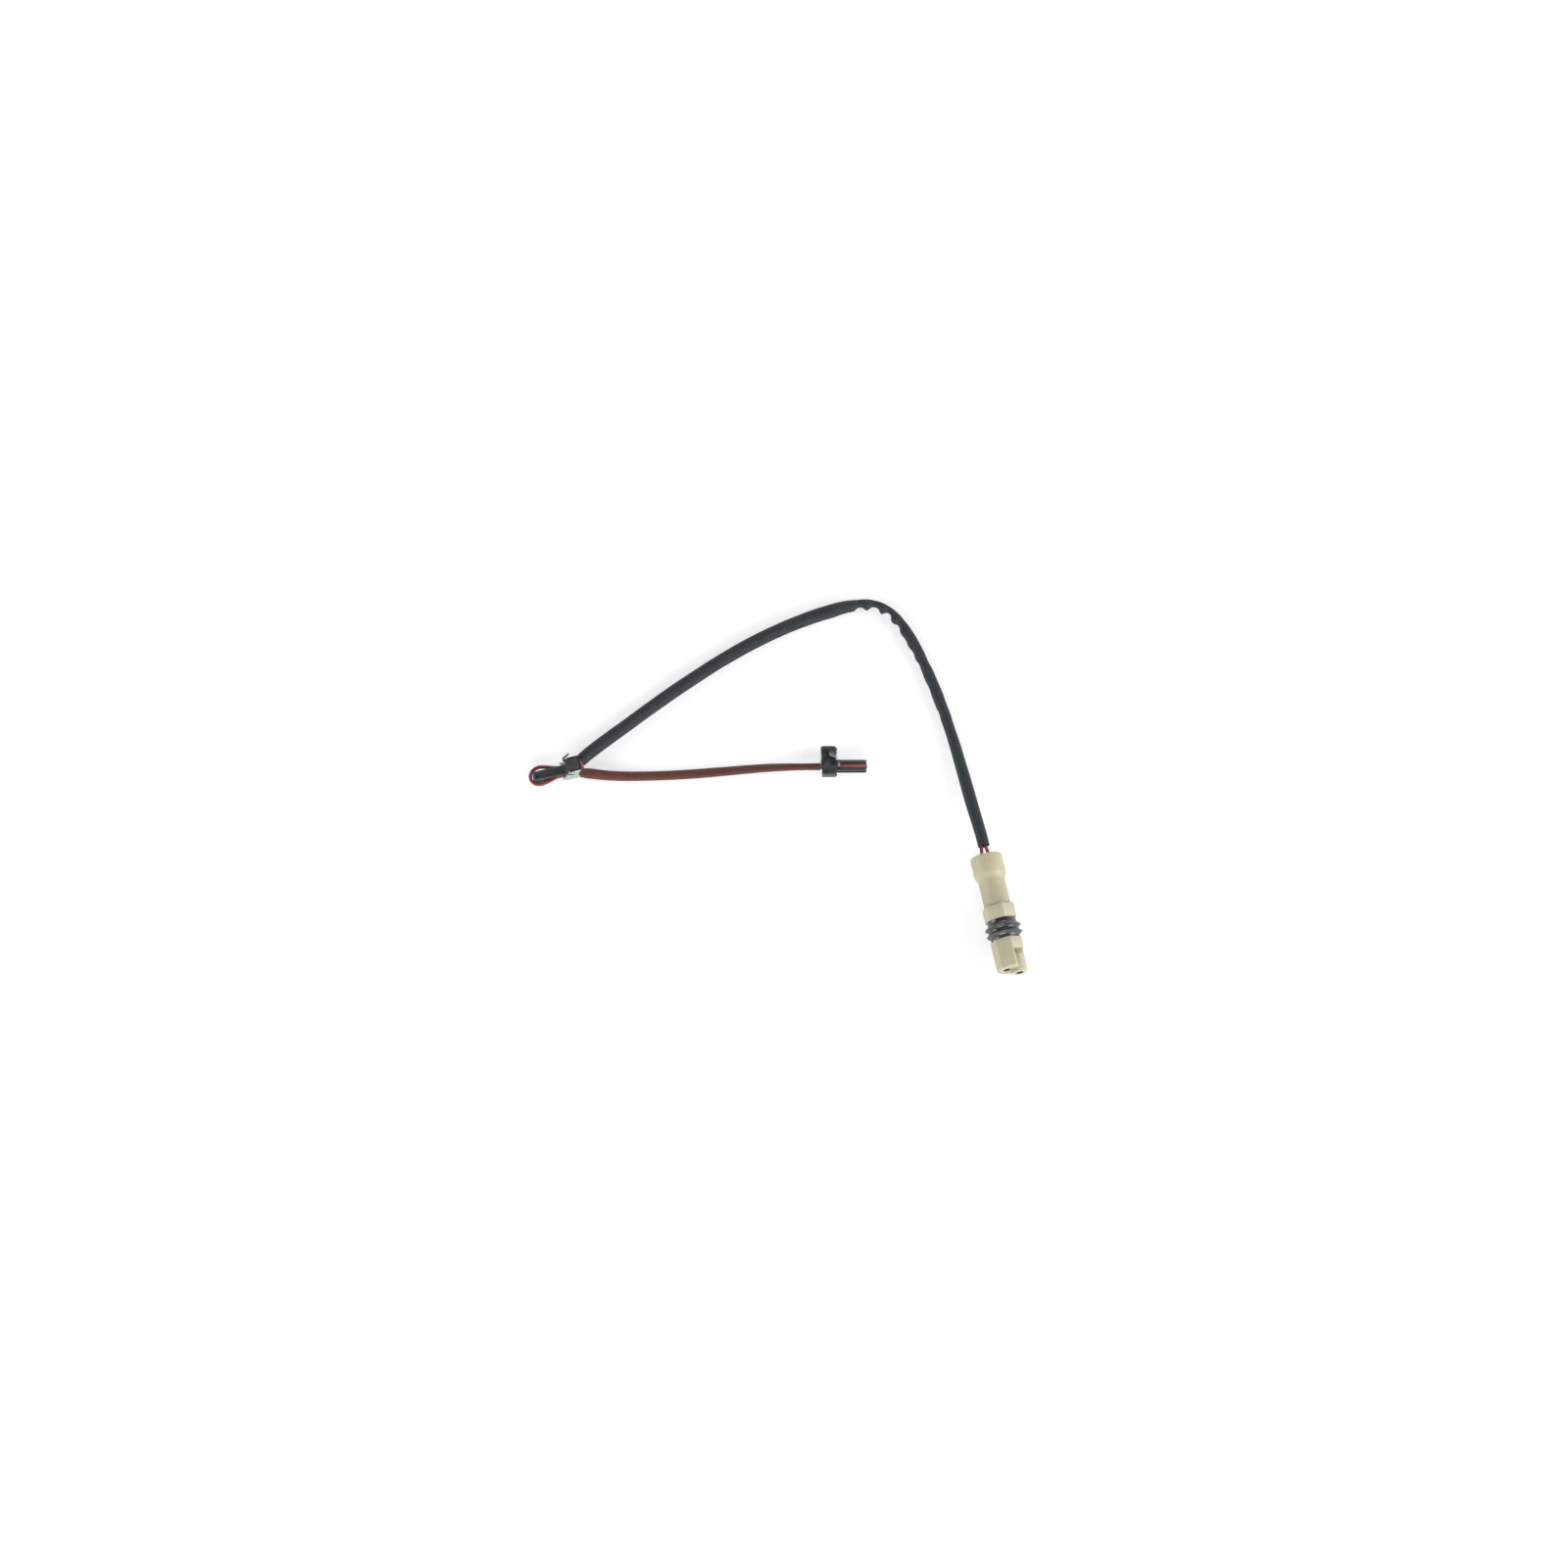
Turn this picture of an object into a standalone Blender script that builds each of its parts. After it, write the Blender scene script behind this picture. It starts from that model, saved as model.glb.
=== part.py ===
"""Brake pad wear sensor: two sensing heads on one cable, and its plug.

The sensor lies on a surface as it is laid out for a parts picture. Metres, +Z up. The origin is on the
surface, under the middle of the box round the two heads and the plug.

A head's own frame: +X runs along its tongue, +Z is square to the tongue's flanges, and the carrier's
base is at Z = 0. The plug's own frame: +X runs along its axis from the wire end to the nose.
"""
import math

import bmesh
import bpy
import numpy as np
from mathutils import Matrix, Vector

MM = 0.001
PLANE_DIGITS = 8

# Clearance between pieces that touch each other
SEAT_GAP = 0.15 * MM

# Insulated wire that makes the sensing loops and the leads
WIRE_DIAMETER = 1.25 * MM
WIRE_RADIUS = WIRE_DIAMETER / 2

# Carrier moulding of a sensing head
BLOCK_LENGTH = 4.9 * MM
BLOCK_WIDTH = 4.4 * MM
COLLAR_HEIGHT = 4.05 * MM
HEAD_HEIGHT = 10.2 * MM
TAB_INSET = 0.15 * MM
MOULD_EDGE = 0.25 * MM
TONGUE_LENGTH = 10.6 * MM
TONGUE_WIDTH = 3.4 * MM
TONGUE_BASE = 1.5 * MM
TONGUE_CORNER = 0.7 * MM
FLANGE_THICKNESS = 1.08 * MM
GROOVE_HEIGHT = 1.6 * MM
WEB_WIDTH = 0.9 * MM
WEB_SETBACK = 2.0 * MM
RIM_WIDTH = 0.5 * MM
RIM_HEIGHT = 0.3 * MM
DIMPLE_RADIUS = 0.45 * MM
DIMPLE_SETBACK = 1.3 * MM

# Spring clip folded from thin steel round a carrier
SHEET = 0.3 * MM
CLIP_BOTTOM = 0.5 * MM
CLIP_TOP_SETBACK = 0.4 * MM
REAR_LEAF_BOTTOM = 5.0 * MM
CLIP_BEND = 0.45 * MM
SIDE_FRONT_TOP = 1.7 * MM
SIDE_FRONT_BOTTOM = 2.8 * MM
SIDE_REAR_SETBACK = 0.5 * MM
BARB_BOTTOM = 5.5 * MM
BARB_TOP = 9.2 * MM
BARB_FOLD_RADIUS = 0.35 * MM
BARB_FOLD_AT = 2.3 * MM
BARB_LENGTH = 2.4 * MM
BARB_TIP_DROP = 0.7 * MM
LIP_BOTTOM = 2.6 * MM
LIP_TOP = 4.4 * MM
LIP_BEND_AT = 3.0 * MM
LIP_BEND_RADIUS = 0.6 * MM
LIP_BEND_DEGREES = 50
LIP_TAIL = 0.4 * MM
BARB_DEGREES = {"head_1": (27, 12), "head_2": (20, 8)}

# Plug housing, by stations along its axis
REAR_RADIUS = 5.6 * MM
REAR_LENGTH = 6.9 * MM
REAR_CHAMFER = 0.4 * MM
TAPER_LENGTH = 2.1 * MM
NECK_RADIUS = 4.67 * MM
NECK_LENGTH = 8.1 * MM
HEX_ACROSS_FLATS = 10.0 * MM
HEX_ROLL_DEGREES = 13.8
COLLAR_CORNER_RADIUS = 5.72 * MM
COLLAR_LENGTH = 6.5 * MM
GROOVE_RADIUS = 4.1 * MM
GROOVE_LENGTH = 7.0 * MM
NOSE_CORNER_RADIUS = 5.55 * MM
NOSE_LENGTH = 11.0 * MM
NOSE_FILLET = 0.7 * MM
STEP_SETBACK = 8.2 * MM
TOWER_RADIUS = 3.0 * MM
TOWER_PROUD = 0.5 * MM
TOWER_INSET = 0.06 * MM
TOWER_ARC_DEGREES = 88

# Contact chambers, wire ways and the pocket of the wire seal
CONTACT_SPREAD = 2.5 * MM
CONTACT_ROLL_DEGREES = 30
CHAMBER_RADIUS = 1.3 * MM
CHAMBER_FLOOR = 23.9 * MM
WIRE_WAY_CLEARANCE = 0.2 * MM
SEAL_POCKET_RADIUS = 4.2 * MM
SEAL_POCKET_DEPTH = 6.0 * MM
SEAL_POCKET_INSET = 0.5 * MM
CONTACT_RADIUS = 1.1 * MM
CONTACT_BORE = 0.75 * MM
CONTACT_RECESS = 0.9 * MM
CONTACT_BORE_DEPTH = 9.0 * MM
CRIMP_RADIUS = 0.85 * MM
CRIMP_LENGTH = 4.0 * MM
WIRE_ENTRY_SPREAD = 1.2 * MM
WIRE_MOUTH_SPREAD = 0.72 * MM

# Lip seal in the plug's groove
LIP_RADIUS = 6.35 * MM
LIP_FLAT = 0.15 * MM
VALLEY_RADIUS = 5.35 * MM
SEAL_END_RADIUS = 5.05 * MM
FIRST_LIP = 2.3 * MM
SECOND_LIP = 4.7 * MM
LIP_HALF_WIDTH = 1.0 * MM

# Sleeves over the wires
BLACK_SLEEVE_DIAMETER = 4.3 * MM
BROWN_SLEEVE_DIAMETER = 2.9 * MM
POINT_SPACING = 2.0

# Where the pieces lie
HEAD_1_PLACE = (-71.3 * MM, 33.1 * MM)
HEAD_1_HEADING_DEGREES = 193.7
HEAD_2_PLACE = (17.8 * MM, 30.6 * MM)
PLUG_PLACE = (72.1 * MM, 0.9 * MM)
PLUG_HEADING_DEGREES = -77.0

# Route of the black sleeve in millimetres, from head 1 over the bend to the plug
BLACK_ROUTE = [
    (-68.15, 36.7, 2.75),
    (-65.6, 39.05, 2.65),
    (-60.2, 43.4, 2.40),
    (-51.9, 49.7, 2.25),
    (-40.9, 58, 2.20),
    (-29.7, 65.9, 2.20),
    (-18.2, 73.5, 2.20),
    (-6.3, 80.3, 2.20),
    (6.2, 86, 2.20),
    (15.8, 89.6, 2.20),
    (22.6, 91.7, 2.20),
    (29, 92.6, 2.20),
    (34.2, 91.9, 2.20),
    (38.8, 89.9, 2.20),
    (42.8, 86.1, 2.20),
    (46.3, 80.4, 2.20),
    (49.6, 73.6, 2.20),
    (53.2, 65.4, 2.20),
    (57, 55.6, 2.20),
    (60.3, 45.6, 2.30),
    (63.1, 35.2, 2.90),
    (66, 24.8, 4.00),
    (68, 17.8, 5.00),
    (69.9, 10.8, 5.90),
    (70.8, 7.4, 6.20),
    (71.45, 4.6, 6.35),
]

# Route of the brown sleeve in millimetres, from head 1 to head 2
BROWN_ROUTE = [
    (-66.3, 31.9, 2.70),
    (-64.3, 31.75, 2.50),
    (-59, 31.3, 2.00),
    (-52.1, 31.1, 1.65),
    (-41.9, 31.3, 1.50),
    (-31.7, 31.8, 1.50),
    (-21.6, 32.6, 1.50),
    (-11.4, 33.5, 1.55),
    (-2.9, 34.1, 1.80),
    (3.9, 34.2, 2.40),
    (9.7, 34.1, 3.10),
    (12.7, 34, 3.55),
    (14.9, 33.98, 3.68),
]

# Loops round the tongues, as (behind the tongue's tip, across) points in millimetres
LOOP_POINTS = {
    "head_1": [
        (9.05, -1.30),
        (6.55, -2.05),
        (4.05, -2.90),
        (1.85, -3.30),
        (-0.15, -2.75),
        (-1.45, -1.35),
        (-1.75, 0.30),
        (-1.05, 1.80),
        (0.45, 2.70),
        (2.55, 2.75),
        (5.05, 2.20),
        (7.25, 1.60),
        (9.05, 1.30),
    ],
    "head_2": [
        (9.05, -1.25),
        (6.05, -1.40),
        (3.05, -1.58),
        (1.35, -1.35),
        (0.45, -0.65),
        (0.30, 0.0),
        (0.45, 0.65),
        (1.35, 1.35),
        (3.05, 1.58),
        (6.05, 1.40),
        (9.05, 1.25),
    ],
}

# Where wires enter the sleeves behind head 1, as (across, up) in millimetres from the sleeve's middle
BLACK_ENTRIES = {"leg": (0.90, -0.50), "crossover": (-1.10, 0.55)}
BROWN_ENTRIES = {"leg": (0.30, -0.70), "crossover": (-0.30, 0.70)}

# Ways between the block of head 1 and the sleeves, as points in millimetres in the head's frame
BLACK_LEG_WAY = [(-3.20, -1.35, 2.65), (-2.80, -1.21, 3.20)]
BROWN_LEG_WAY = [(-2.85, 1.27, 3.15), (-3.35, 1.60, 2.50)]
CROSSOVER_WAY = [
    (-2.80, -2.85, 3.70),
    (-3.25, -2.05, 4.15),
    (-3.50, -1.20, 4.30),
    (-3.65, 0.00, 4.30),
    (-3.80, 1.00, 4.15),
]

# Values that follow from the sizes above
TONGUE_HEIGHT = 2 * FLANGE_THICKNESS + GROOVE_HEIGHT
WIRE_LEVEL = TONGUE_BASE + FLANGE_THICKNESS + GROOVE_HEIGHT / 2
LEG_SPREAD = WEB_WIDTH / 2 + SEAT_GAP + WIRE_RADIUS
LEG_HOLE_RADIUS = WIRE_RADIUS + SEAT_GAP
BLOCK_FRONT = BLOCK_LENGTH / 2
BLOCK_REAR = -BLOCK_LENGTH / 2
TONGUE_TIP = BLOCK_FRONT + TONGUE_LENGTH
CLIP_SIDE = BLOCK_WIDTH / 2 + SEAT_GAP + SHEET / 2
CLIP_REAR = BLOCK_REAR - SEAT_GAP - SHEET / 2
CLIP_TOP = HEAD_HEIGHT - CLIP_TOP_SETBACK
BARB_ROOT = CLIP_SIDE + 2 * BARB_FOLD_RADIUS

TAPER_START = REAR_LENGTH
NECK_START = TAPER_START + TAPER_LENGTH
COLLAR_START = NECK_START + NECK_LENGTH
GROOVE_START = COLLAR_START + COLLAR_LENGTH
NOSE_START = GROOVE_START + GROOVE_LENGTH
NOSE_END = NOSE_START + NOSE_LENGTH
TOWER_END = NOSE_END + TOWER_PROUD
STEP_START = NOSE_END - STEP_SETBACK
CONTACT_OFFSET = (
    CONTACT_SPREAD * math.cos(math.radians(CONTACT_ROLL_DEGREES)),
    -CONTACT_SPREAD * math.sin(math.radians(CONTACT_ROLL_DEGREES)),
)
SLEEVE_MOUTH = -Vector((BLACK_ROUTE[-1][0] * MM - PLUG_PLACE[0], BLACK_ROUTE[-1][1] * MM - PLUG_PLACE[1])).length
PLUG_HEIGHT = LIP_RADIUS


def clear_scene():
    """Start from an empty scene."""
    for item in list(bpy.data.objects):
        bpy.data.objects.remove(item, do_unlink=True)


def make_material(name, colour, roughness, metallic=0.0):
    """A Principled material from an sRGB colour given as three numbers from 0 to 255."""
    material = bpy.data.materials.new(name)
    material.use_nodes = True
    shader = material.node_tree.nodes["Principled BSDF"]
    linear = [(value / 255) ** 2.2 for value in colour]
    shader.inputs["Base Color"].default_value = (*linear, 1.0)
    shader.inputs["Roughness"].default_value = roughness
    shader.inputs["Metallic"].default_value = metallic
    return material


def add_object(name, mesh):
    """Link a mesh to the scene as an object."""
    item = bpy.data.objects.new(name, mesh)
    bpy.context.scene.collection.objects.link(item)
    return item


def mesh_from(shape, name):
    """Turn a bmesh with outward faces into a mesh."""
    bmesh.ops.recalc_face_normals(shape, faces=shape.faces)
    mesh = bpy.data.meshes.new(name)
    shape.to_mesh(mesh)
    shape.free()
    return mesh


def prism(name, outline, low, high, axis="Z"):
    """A flat outline pulled straight from low to high along an axis.

    The outline's two numbers are X and Y for axis Z, X and Z for axis Y, and Y and Z for axis X.
    Rounding to 10 nanometres lets faces that should share a plane share it exactly.
    """
    outline = [(round(a, PLANE_DIGITS), round(b, PLANE_DIGITS)) for a, b in outline]
    low = round(low, PLANE_DIGITS)
    high = round(high, PLANE_DIGITS)
    shape = bmesh.new()
    place = {
        "Z": lambda a, b, h: (a, b, h),
        "Y": lambda a, b, h: (a, h, b),
        "X": lambda a, b, h: (h, a, b),
    }[axis]
    face = shape.faces.new([shape.verts.new(place(a, b, low)) for a, b in outline])
    pulled = bmesh.ops.extrude_face_region(shape, geom=[face])
    moved = [part for part in pulled["geom"] if isinstance(part, bmesh.types.BMVert)]
    bmesh.ops.translate(shape, verts=moved, vec=Vector(place(0, 0, high - low)))
    return add_object(name, mesh_from(shape, name))


def block(name, low, high, edge=0.0):
    """A box between two corners, with its edges rounded off."""
    shape = bmesh.new()
    bmesh.ops.create_cube(shape, size=1.0)
    low = Vector(low)
    high = Vector(high)
    for vert in shape.verts:
        vert.co = [(low[i] + high[i]) / 2 + vert.co[i] * (high[i] - low[i]) for i in range(3)]
    if edge:
        bmesh.ops.bevel(shape, geom=shape.edges[:], offset=edge, segments=2, profile=0.5, affect="EDGES")
    return add_object(name, mesh_from(shape, name))


def turned(name, profile, sides, centre=(0.0, 0.0)):
    """A profile of (along, radius) points spun round the X axis, or round a line beside it.

    A profile that starts and ends on the axis closes at its poles, and any other is a closed loop.
    """
    shape = bmesh.new()
    verts = [shape.verts.new((along, radius, 0.0)) for along, radius in profile]
    edges = [shape.edges.new(pair) for pair in zip(verts, verts[1:])]
    if profile[0][1] > 0:
        edges.append(shape.edges.new((verts[-1], verts[0])))
    bmesh.ops.spin(
        shape, geom=verts + edges, cent=(0, 0, 0), axis=(1, 0, 0), angle=math.tau, steps=sides, use_merge=True
    )
    bmesh.ops.remove_doubles(shape, verts=shape.verts, dist=1e-7)
    bmesh.ops.translate(shape, verts=shape.verts, vec=(0.0, centre[0], centre[1]))
    return add_object(name, mesh_from(shape, name))


def rod(name, start, end, radius, sides=24):
    """A straight round bar between two points."""
    start = Vector(start)
    end = Vector(end)
    shape = bmesh.new()
    turn = (end - start).to_track_quat("Z", "Y").to_matrix().to_4x4()
    bmesh.ops.create_cone(
        shape,
        cap_ends=True,
        segments=sides,
        radius1=radius,
        radius2=radius,
        depth=(end - start).length,
        matrix=Matrix.Translation((start + end) / 2) @ turn,
    )
    return add_object(name, mesh_from(shape, name))


def loft(name, rings):
    """A closed skin over rings of equal point counts."""
    shape = bmesh.new()
    rows = [[shape.verts.new(point) for point in ring] for ring in rings]
    count = len(rows[0])
    for near, far in zip(rows, rows[1:]):
        for i in range(count):
            shape.faces.new((near[i], near[(i + 1) % count], far[(i + 1) % count], far[i]))
    shape.faces.new(rows[0])
    shape.faces.new(rows[-1])
    return add_object(name, mesh_from(shape, name))


def combine(target, tools, operation):
    """Join tools to a target or cut them out of it, and keep the result as the target's own mesh."""
    for tool in tools:
        modifier = target.modifiers.new(tool.name, "BOOLEAN")
        modifier.operation = operation
        modifier.solver = "EXACT"
        modifier.object = tool
    bpy.context.view_layer.update()
    evaluated = target.evaluated_get(bpy.context.evaluated_depsgraph_get())
    result = bpy.data.meshes.new_from_object(evaluated)
    target.modifiers.clear()
    target.data = result
    for tool in tools:
        bpy.data.objects.remove(tool, do_unlink=True)
    return target


def finish_mesh(item, material, angle_degrees=35):
    """Smooth the round faces, keep the sharp edges and give the material."""
    item.data.shade_smooth()
    item.data.set_sharp_from_angle(angle=math.radians(angle_degrees))
    item.data.materials.clear()
    item.data.materials.append(material)
    return item


def smooth_route(points, per_leg=16):
    """A Catmull-Rom curve through the points, finely stepped."""
    points = np.array(points, float)
    ends = np.vstack([2 * points[0] - points[1], points, 2 * points[-1] - points[-2]])
    t = np.linspace(0.0, 1.0, per_leg, endpoint=False)[:, None]
    legs = []
    for a, b, c, d in zip(ends, ends[1:], ends[2:], ends[3:]):
        legs.append(
            0.5 * (2 * b + (c - a) * t + (2 * a - 5 * b + 4 * c - d) * t**2 + (3 * b - a - 3 * c + d) * t**3)
        )
    return np.vstack([*legs, points[-1:]])


def evenly(route, spacing):
    """Points at equal steps along a route, as near the spacing as its length allows."""
    steps = np.linalg.norm(np.diff(route, axis=0), axis=1)
    along = np.concatenate([[0.0], np.cumsum(steps)])
    count = max(2, round(along[-1] / spacing) + 1)
    wanted = np.linspace(0.0, along[-1], count)
    return np.column_stack([np.interp(wanted, along, route[:, i]) for i in range(3)])


def cable(name, points, radius, material, resolution=2):
    """A round cable with flat ends along a chain of points."""
    curve = bpy.data.curves.new(name, "CURVE")
    curve.dimensions = "3D"
    spline = curve.splines.new("POLY")
    spline.points.add(len(points) - 1)
    for point, place in zip(spline.points, points):
        point.co = (*place, 1.0)
    curve.bevel_depth = radius
    curve.bevel_resolution = resolution
    curve.use_fill_caps = True
    curve.materials.append(material)
    return add_object(name, curve)


def tongue_outline(width, tip, corner):
    """A plate from inside the block to a tip with two rounded corners."""
    half = width / 2
    root = BLOCK_FRONT - MOULD_EDGE * 2
    points = [(root, -half)]
    for centre, first in ((-half + corner, -90), (half - corner, 0)):
        for step in range(5):
            angle = math.radians(first + 22.5 * step)
            points.append((tip - corner + corner * math.cos(angle), centre + corner * math.sin(angle)))
    points.append((root, half))
    return points


def make_carrier_mesh():
    """Carrier moulding: a collar and tab with a grooved tongue and two wire holes."""
    half_length = BLOCK_LENGTH / 2
    half_width = BLOCK_WIDTH / 2
    carrier = block(
        "carrier", (-half_length, -half_width, 0.0), (half_length, half_width, COLLAR_HEIGHT), MOULD_EDGE
    )
    tab = block(
        "tab",
        (-half_length + TAB_INSET, -half_width + TAB_INSET, MOULD_EDGE * 2),
        (half_length - TAB_INSET, half_width - TAB_INSET, HEAD_HEIGHT),
        MOULD_EDGE,
    )
    flange_low = TONGUE_BASE
    groove_low = flange_low + FLANGE_THICKNESS
    groove_high = groove_low + GROOVE_HEIGHT
    flange_high = groove_high + FLANGE_THICKNESS
    overlap = FLANGE_THICKNESS / 3
    plate = tongue_outline(TONGUE_WIDTH, TONGUE_TIP, TONGUE_CORNER)
    web = tongue_outline(WEB_WIDTH, TONGUE_TIP - WEB_SETBACK, WEB_WIDTH * 0.49)
    joined = [
        tab,
        prism("lower_flange", plate, flange_low, groove_low),
        prism("upper_flange", plate, groove_high, flange_high),
        prism("web", web, groove_low - overlap, groove_high + overlap),
    ]
    combine(carrier, joined, "UNION")

    channel_end = TONGUE_TIP - RIM_WIDTH
    channel_half = TONGUE_WIDTH / 2 - RIM_WIDTH
    cuts = []
    for side, level in (("lower", flange_low), ("upper", flange_high)):
        sign = 1 if side == "upper" else -1
        low, high = sorted((level - sign * RIM_HEIGHT, level + sign * RIM_HEIGHT))
        cuts.append(
            block(
                f"{side}_channel",
                (BLOCK_FRONT + RIM_WIDTH, -channel_half, low),
                (channel_end, channel_half, high),
            )
        )
        dimple_low, dimple_high = sorted((level - sign * 2 * RIM_HEIGHT, level))
        dimple_at = TONGUE_TIP - DIMPLE_SETBACK
        cuts.append(
            rod(f"{side}_dimple", (dimple_at, 0, dimple_low), (dimple_at, 0, dimple_high), DIMPLE_RADIUS, 16)
        )
    for sign in (-1, 1):
        way = (sign * LEG_SPREAD, WIRE_LEVEL)
        cuts.append(
            rod("leg_hole", (BLOCK_REAR - MM, *way), (BLOCK_FRONT + MM, *way), LEG_HOLE_RADIUS, 20)
        )
    combine(carrier, cuts, "DIFFERENCE")
    mesh = carrier.data
    bpy.data.objects.remove(carrier, do_unlink=True)
    return mesh


def strip_outline(path, thickness):
    """The two-sided outline of a folded strip, from its middle line seen edge on."""
    path = np.array(path, float)
    ahead = np.gradient(path, axis=0)
    ahead /= np.linalg.norm(ahead, axis=1)[:, None]
    aside = np.column_stack([-ahead[:, 1], ahead[:, 0]]) * thickness / 2
    return [tuple(p) for p in np.vstack([path + aside, (path - aside)[::-1]])]


def arc_points(centre, radius, first, last, steps):
    """Points on an arc, angles in degrees."""
    angles = np.radians(np.linspace(first, last, steps + 1))
    return [(centre[0] + radius * math.cos(a), centre[1] + radius * math.sin(a)) for a in angles]


def barb_tip(degrees):
    """The (along, across) place of a barb's free end, on its middle line."""
    slope = math.radians(degrees)
    return (BARB_FOLD_AT - BARB_LENGTH * math.cos(slope), BARB_ROOT + BARB_LENGTH * math.sin(slope))


def barb_reach(degrees):
    """How far a barb's outer corner stands from the head's middle plane."""
    return barb_tip(degrees)[1] + SHEET / 2 * math.cos(math.radians(degrees))


def make_clip(name, far_degrees, near_degrees):
    """Spring clip: a rear leaf, two side plates, and a barb and a lip at the front of each side.

    The far side is at negative Y and the near side at positive Y. Each barb is the strip folded back
    on itself at the front, so that it flares out towards the rear.
    """
    corner = CLIP_SIDE - CLIP_BEND
    run_out = CLIP_REAR + CLIP_BEND + SHEET / 6
    band = [(0.0, CLIP_SIDE), (run_out, CLIP_SIDE)]
    band += arc_points((CLIP_REAR + CLIP_BEND, corner), CLIP_BEND, 90, 180, 4)
    band += arc_points((CLIP_REAR + CLIP_BEND, -corner), CLIP_BEND, 180, 270, 4)
    band += [(run_out, -CLIP_SIDE), (0.0, -CLIP_SIDE)]
    clip = prism(name, strip_outline(band, SHEET), REAR_LEAF_BOTTOM, CLIP_TOP)

    rear = BLOCK_REAR + SIDE_REAR_SETBACK
    side_plate = [
        (rear, CLIP_BOTTOM),
        (SIDE_FRONT_BOTTOM, CLIP_BOTTOM),
        (SIDE_FRONT_TOP, CLIP_TOP - SHEET),
        (SIDE_FRONT_TOP - SHEET, CLIP_TOP),
        (rear, CLIP_TOP),
    ]
    pieces = []
    for side, degrees in ((-1, far_degrees), (1, near_degrees)):
        inner, outer = sorted((side * (CLIP_SIDE - SHEET / 2), side * (CLIP_SIDE + SHEET / 2)))
        pieces.append(prism("side_plate", side_plate, inner, outer, axis="Y"))

        fold_centre = (BARB_FOLD_AT, CLIP_SIDE + BARB_FOLD_RADIUS)
        fold = [(BARB_FOLD_AT - 3 * SHEET, CLIP_SIDE), (BARB_FOLD_AT - SHEET / 6, CLIP_SIDE)]
        fold += arc_points(fold_centre, BARB_FOLD_RADIUS, -90, 90, 6)
        fold.append(barb_tip(degrees))
        fold = [(along, side * across) for along, across in fold]
        barb = prism("barb", strip_outline(fold, SHEET), BARB_BOTTOM, BARB_TOP)
        taper = barb_tip(degrees)[0]
        for vert in barb.data.vertices:
            reach = max(0.0, (BARB_FOLD_AT - vert.co.x) / (BARB_FOLD_AT - taper))
            if abs(vert.co.y) > CLIP_SIDE + SHEET and vert.co.z < (BARB_BOTTOM + BARB_TOP) / 2:
                vert.co.z += BARB_TIP_DROP * min(1.0, reach)
        pieces.append(barb)

        lip_centre = (LIP_BEND_AT, CLIP_SIDE + LIP_BEND_RADIUS)
        lip = [(0.0, CLIP_SIDE), (LIP_BEND_AT - SHEET / 6, CLIP_SIDE)]
        lip += arc_points(lip_centre, LIP_BEND_RADIUS, -90, -90 + LIP_BEND_DEGREES, 5)
        lean = math.radians(LIP_BEND_DEGREES)
        end = lip[-1]
        lip.append((end[0] + LIP_TAIL * math.cos(lean), end[1] + LIP_TAIL * math.sin(lean)))
        lip = [(along, side * across) for along, across in lip]
        pieces.append(prism("lip", strip_outline(lip, SHEET), LIP_BOTTOM, LIP_TOP))
    return combine(clip, pieces, "UNION")


def loop_points(head):
    """Wire route through the block, round the tongue and back, in the head's frame."""
    front = BLOCK_FRONT + WIRE_RADIUS
    middle = BLOCK_REAR / 2
    flat = [(BLOCK_REAR, -LEG_SPREAD), (middle, -LEG_SPREAD), (middle / 2, -LEG_SPREAD), (front, -LEG_SPREAD)]
    flat += [(TONGUE_TIP - behind * MM, across * MM) for behind, across in LOOP_POINTS[head]]
    flat += [(front, LEG_SPREAD), (middle / 2, LEG_SPREAD), (middle, LEG_SPREAD), (BLOCK_REAR, LEG_SPREAD)]
    return [Vector((along, across, WIRE_LEVEL)) for along, across in flat]


def sleeve_entry(route, across, up):
    """Two points of a wire that stands square to the first end of a sleeve and nearly touches it."""
    start, following = (Vector(point) * MM for point in smooth_route(route)[:2])
    outward = (start - following).normalized()
    aside = Vector((0.0, 0.0, 1.0)).cross(outward).normalized()
    place = start + aside * across * MM + outward.cross(aside) * up * MM
    return [place + outward * SEAT_GAP, place + outward * (SEAT_GAP + WIRE_RADIUS / 2)]


def placed(matrix, points):
    """Points given in millimetres in a head's frame, in the scene's frame."""
    return [matrix @ (Vector(point) * MM) for point in points]


def head_wire_route(head, matrix):
    """Route of a head's sensing wire in the scene's frame, with its ways to the sleeves for head 1."""
    middle = [matrix @ point for point in loop_points(head)]
    if head == "head_2":
        stub = matrix.to_3x3() @ Vector((SEAT_GAP, 0.0, 0.0))
        return [middle[0] - stub, *middle, middle[-1] - stub]
    before = sleeve_entry(BLACK_ROUTE, *BLACK_ENTRIES["leg"]) + placed(matrix, BLACK_LEG_WAY)
    after = placed(matrix, BROWN_LEG_WAY) + sleeve_entry(BROWN_ROUTE, *BROWN_ENTRIES["leg"])[::-1]
    return before + middle + after


def crossover_route(matrix):
    """Route of the wire that passes head 1 by, from the black sleeve into the brown one."""
    before = sleeve_entry(BLACK_ROUTE, *BLACK_ENTRIES["crossover"])
    after = sleeve_entry(BROWN_ROUTE, *BROWN_ENTRIES["crossover"])[::-1]
    return before + placed(matrix, CROSSOVER_WAY) + after


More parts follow.
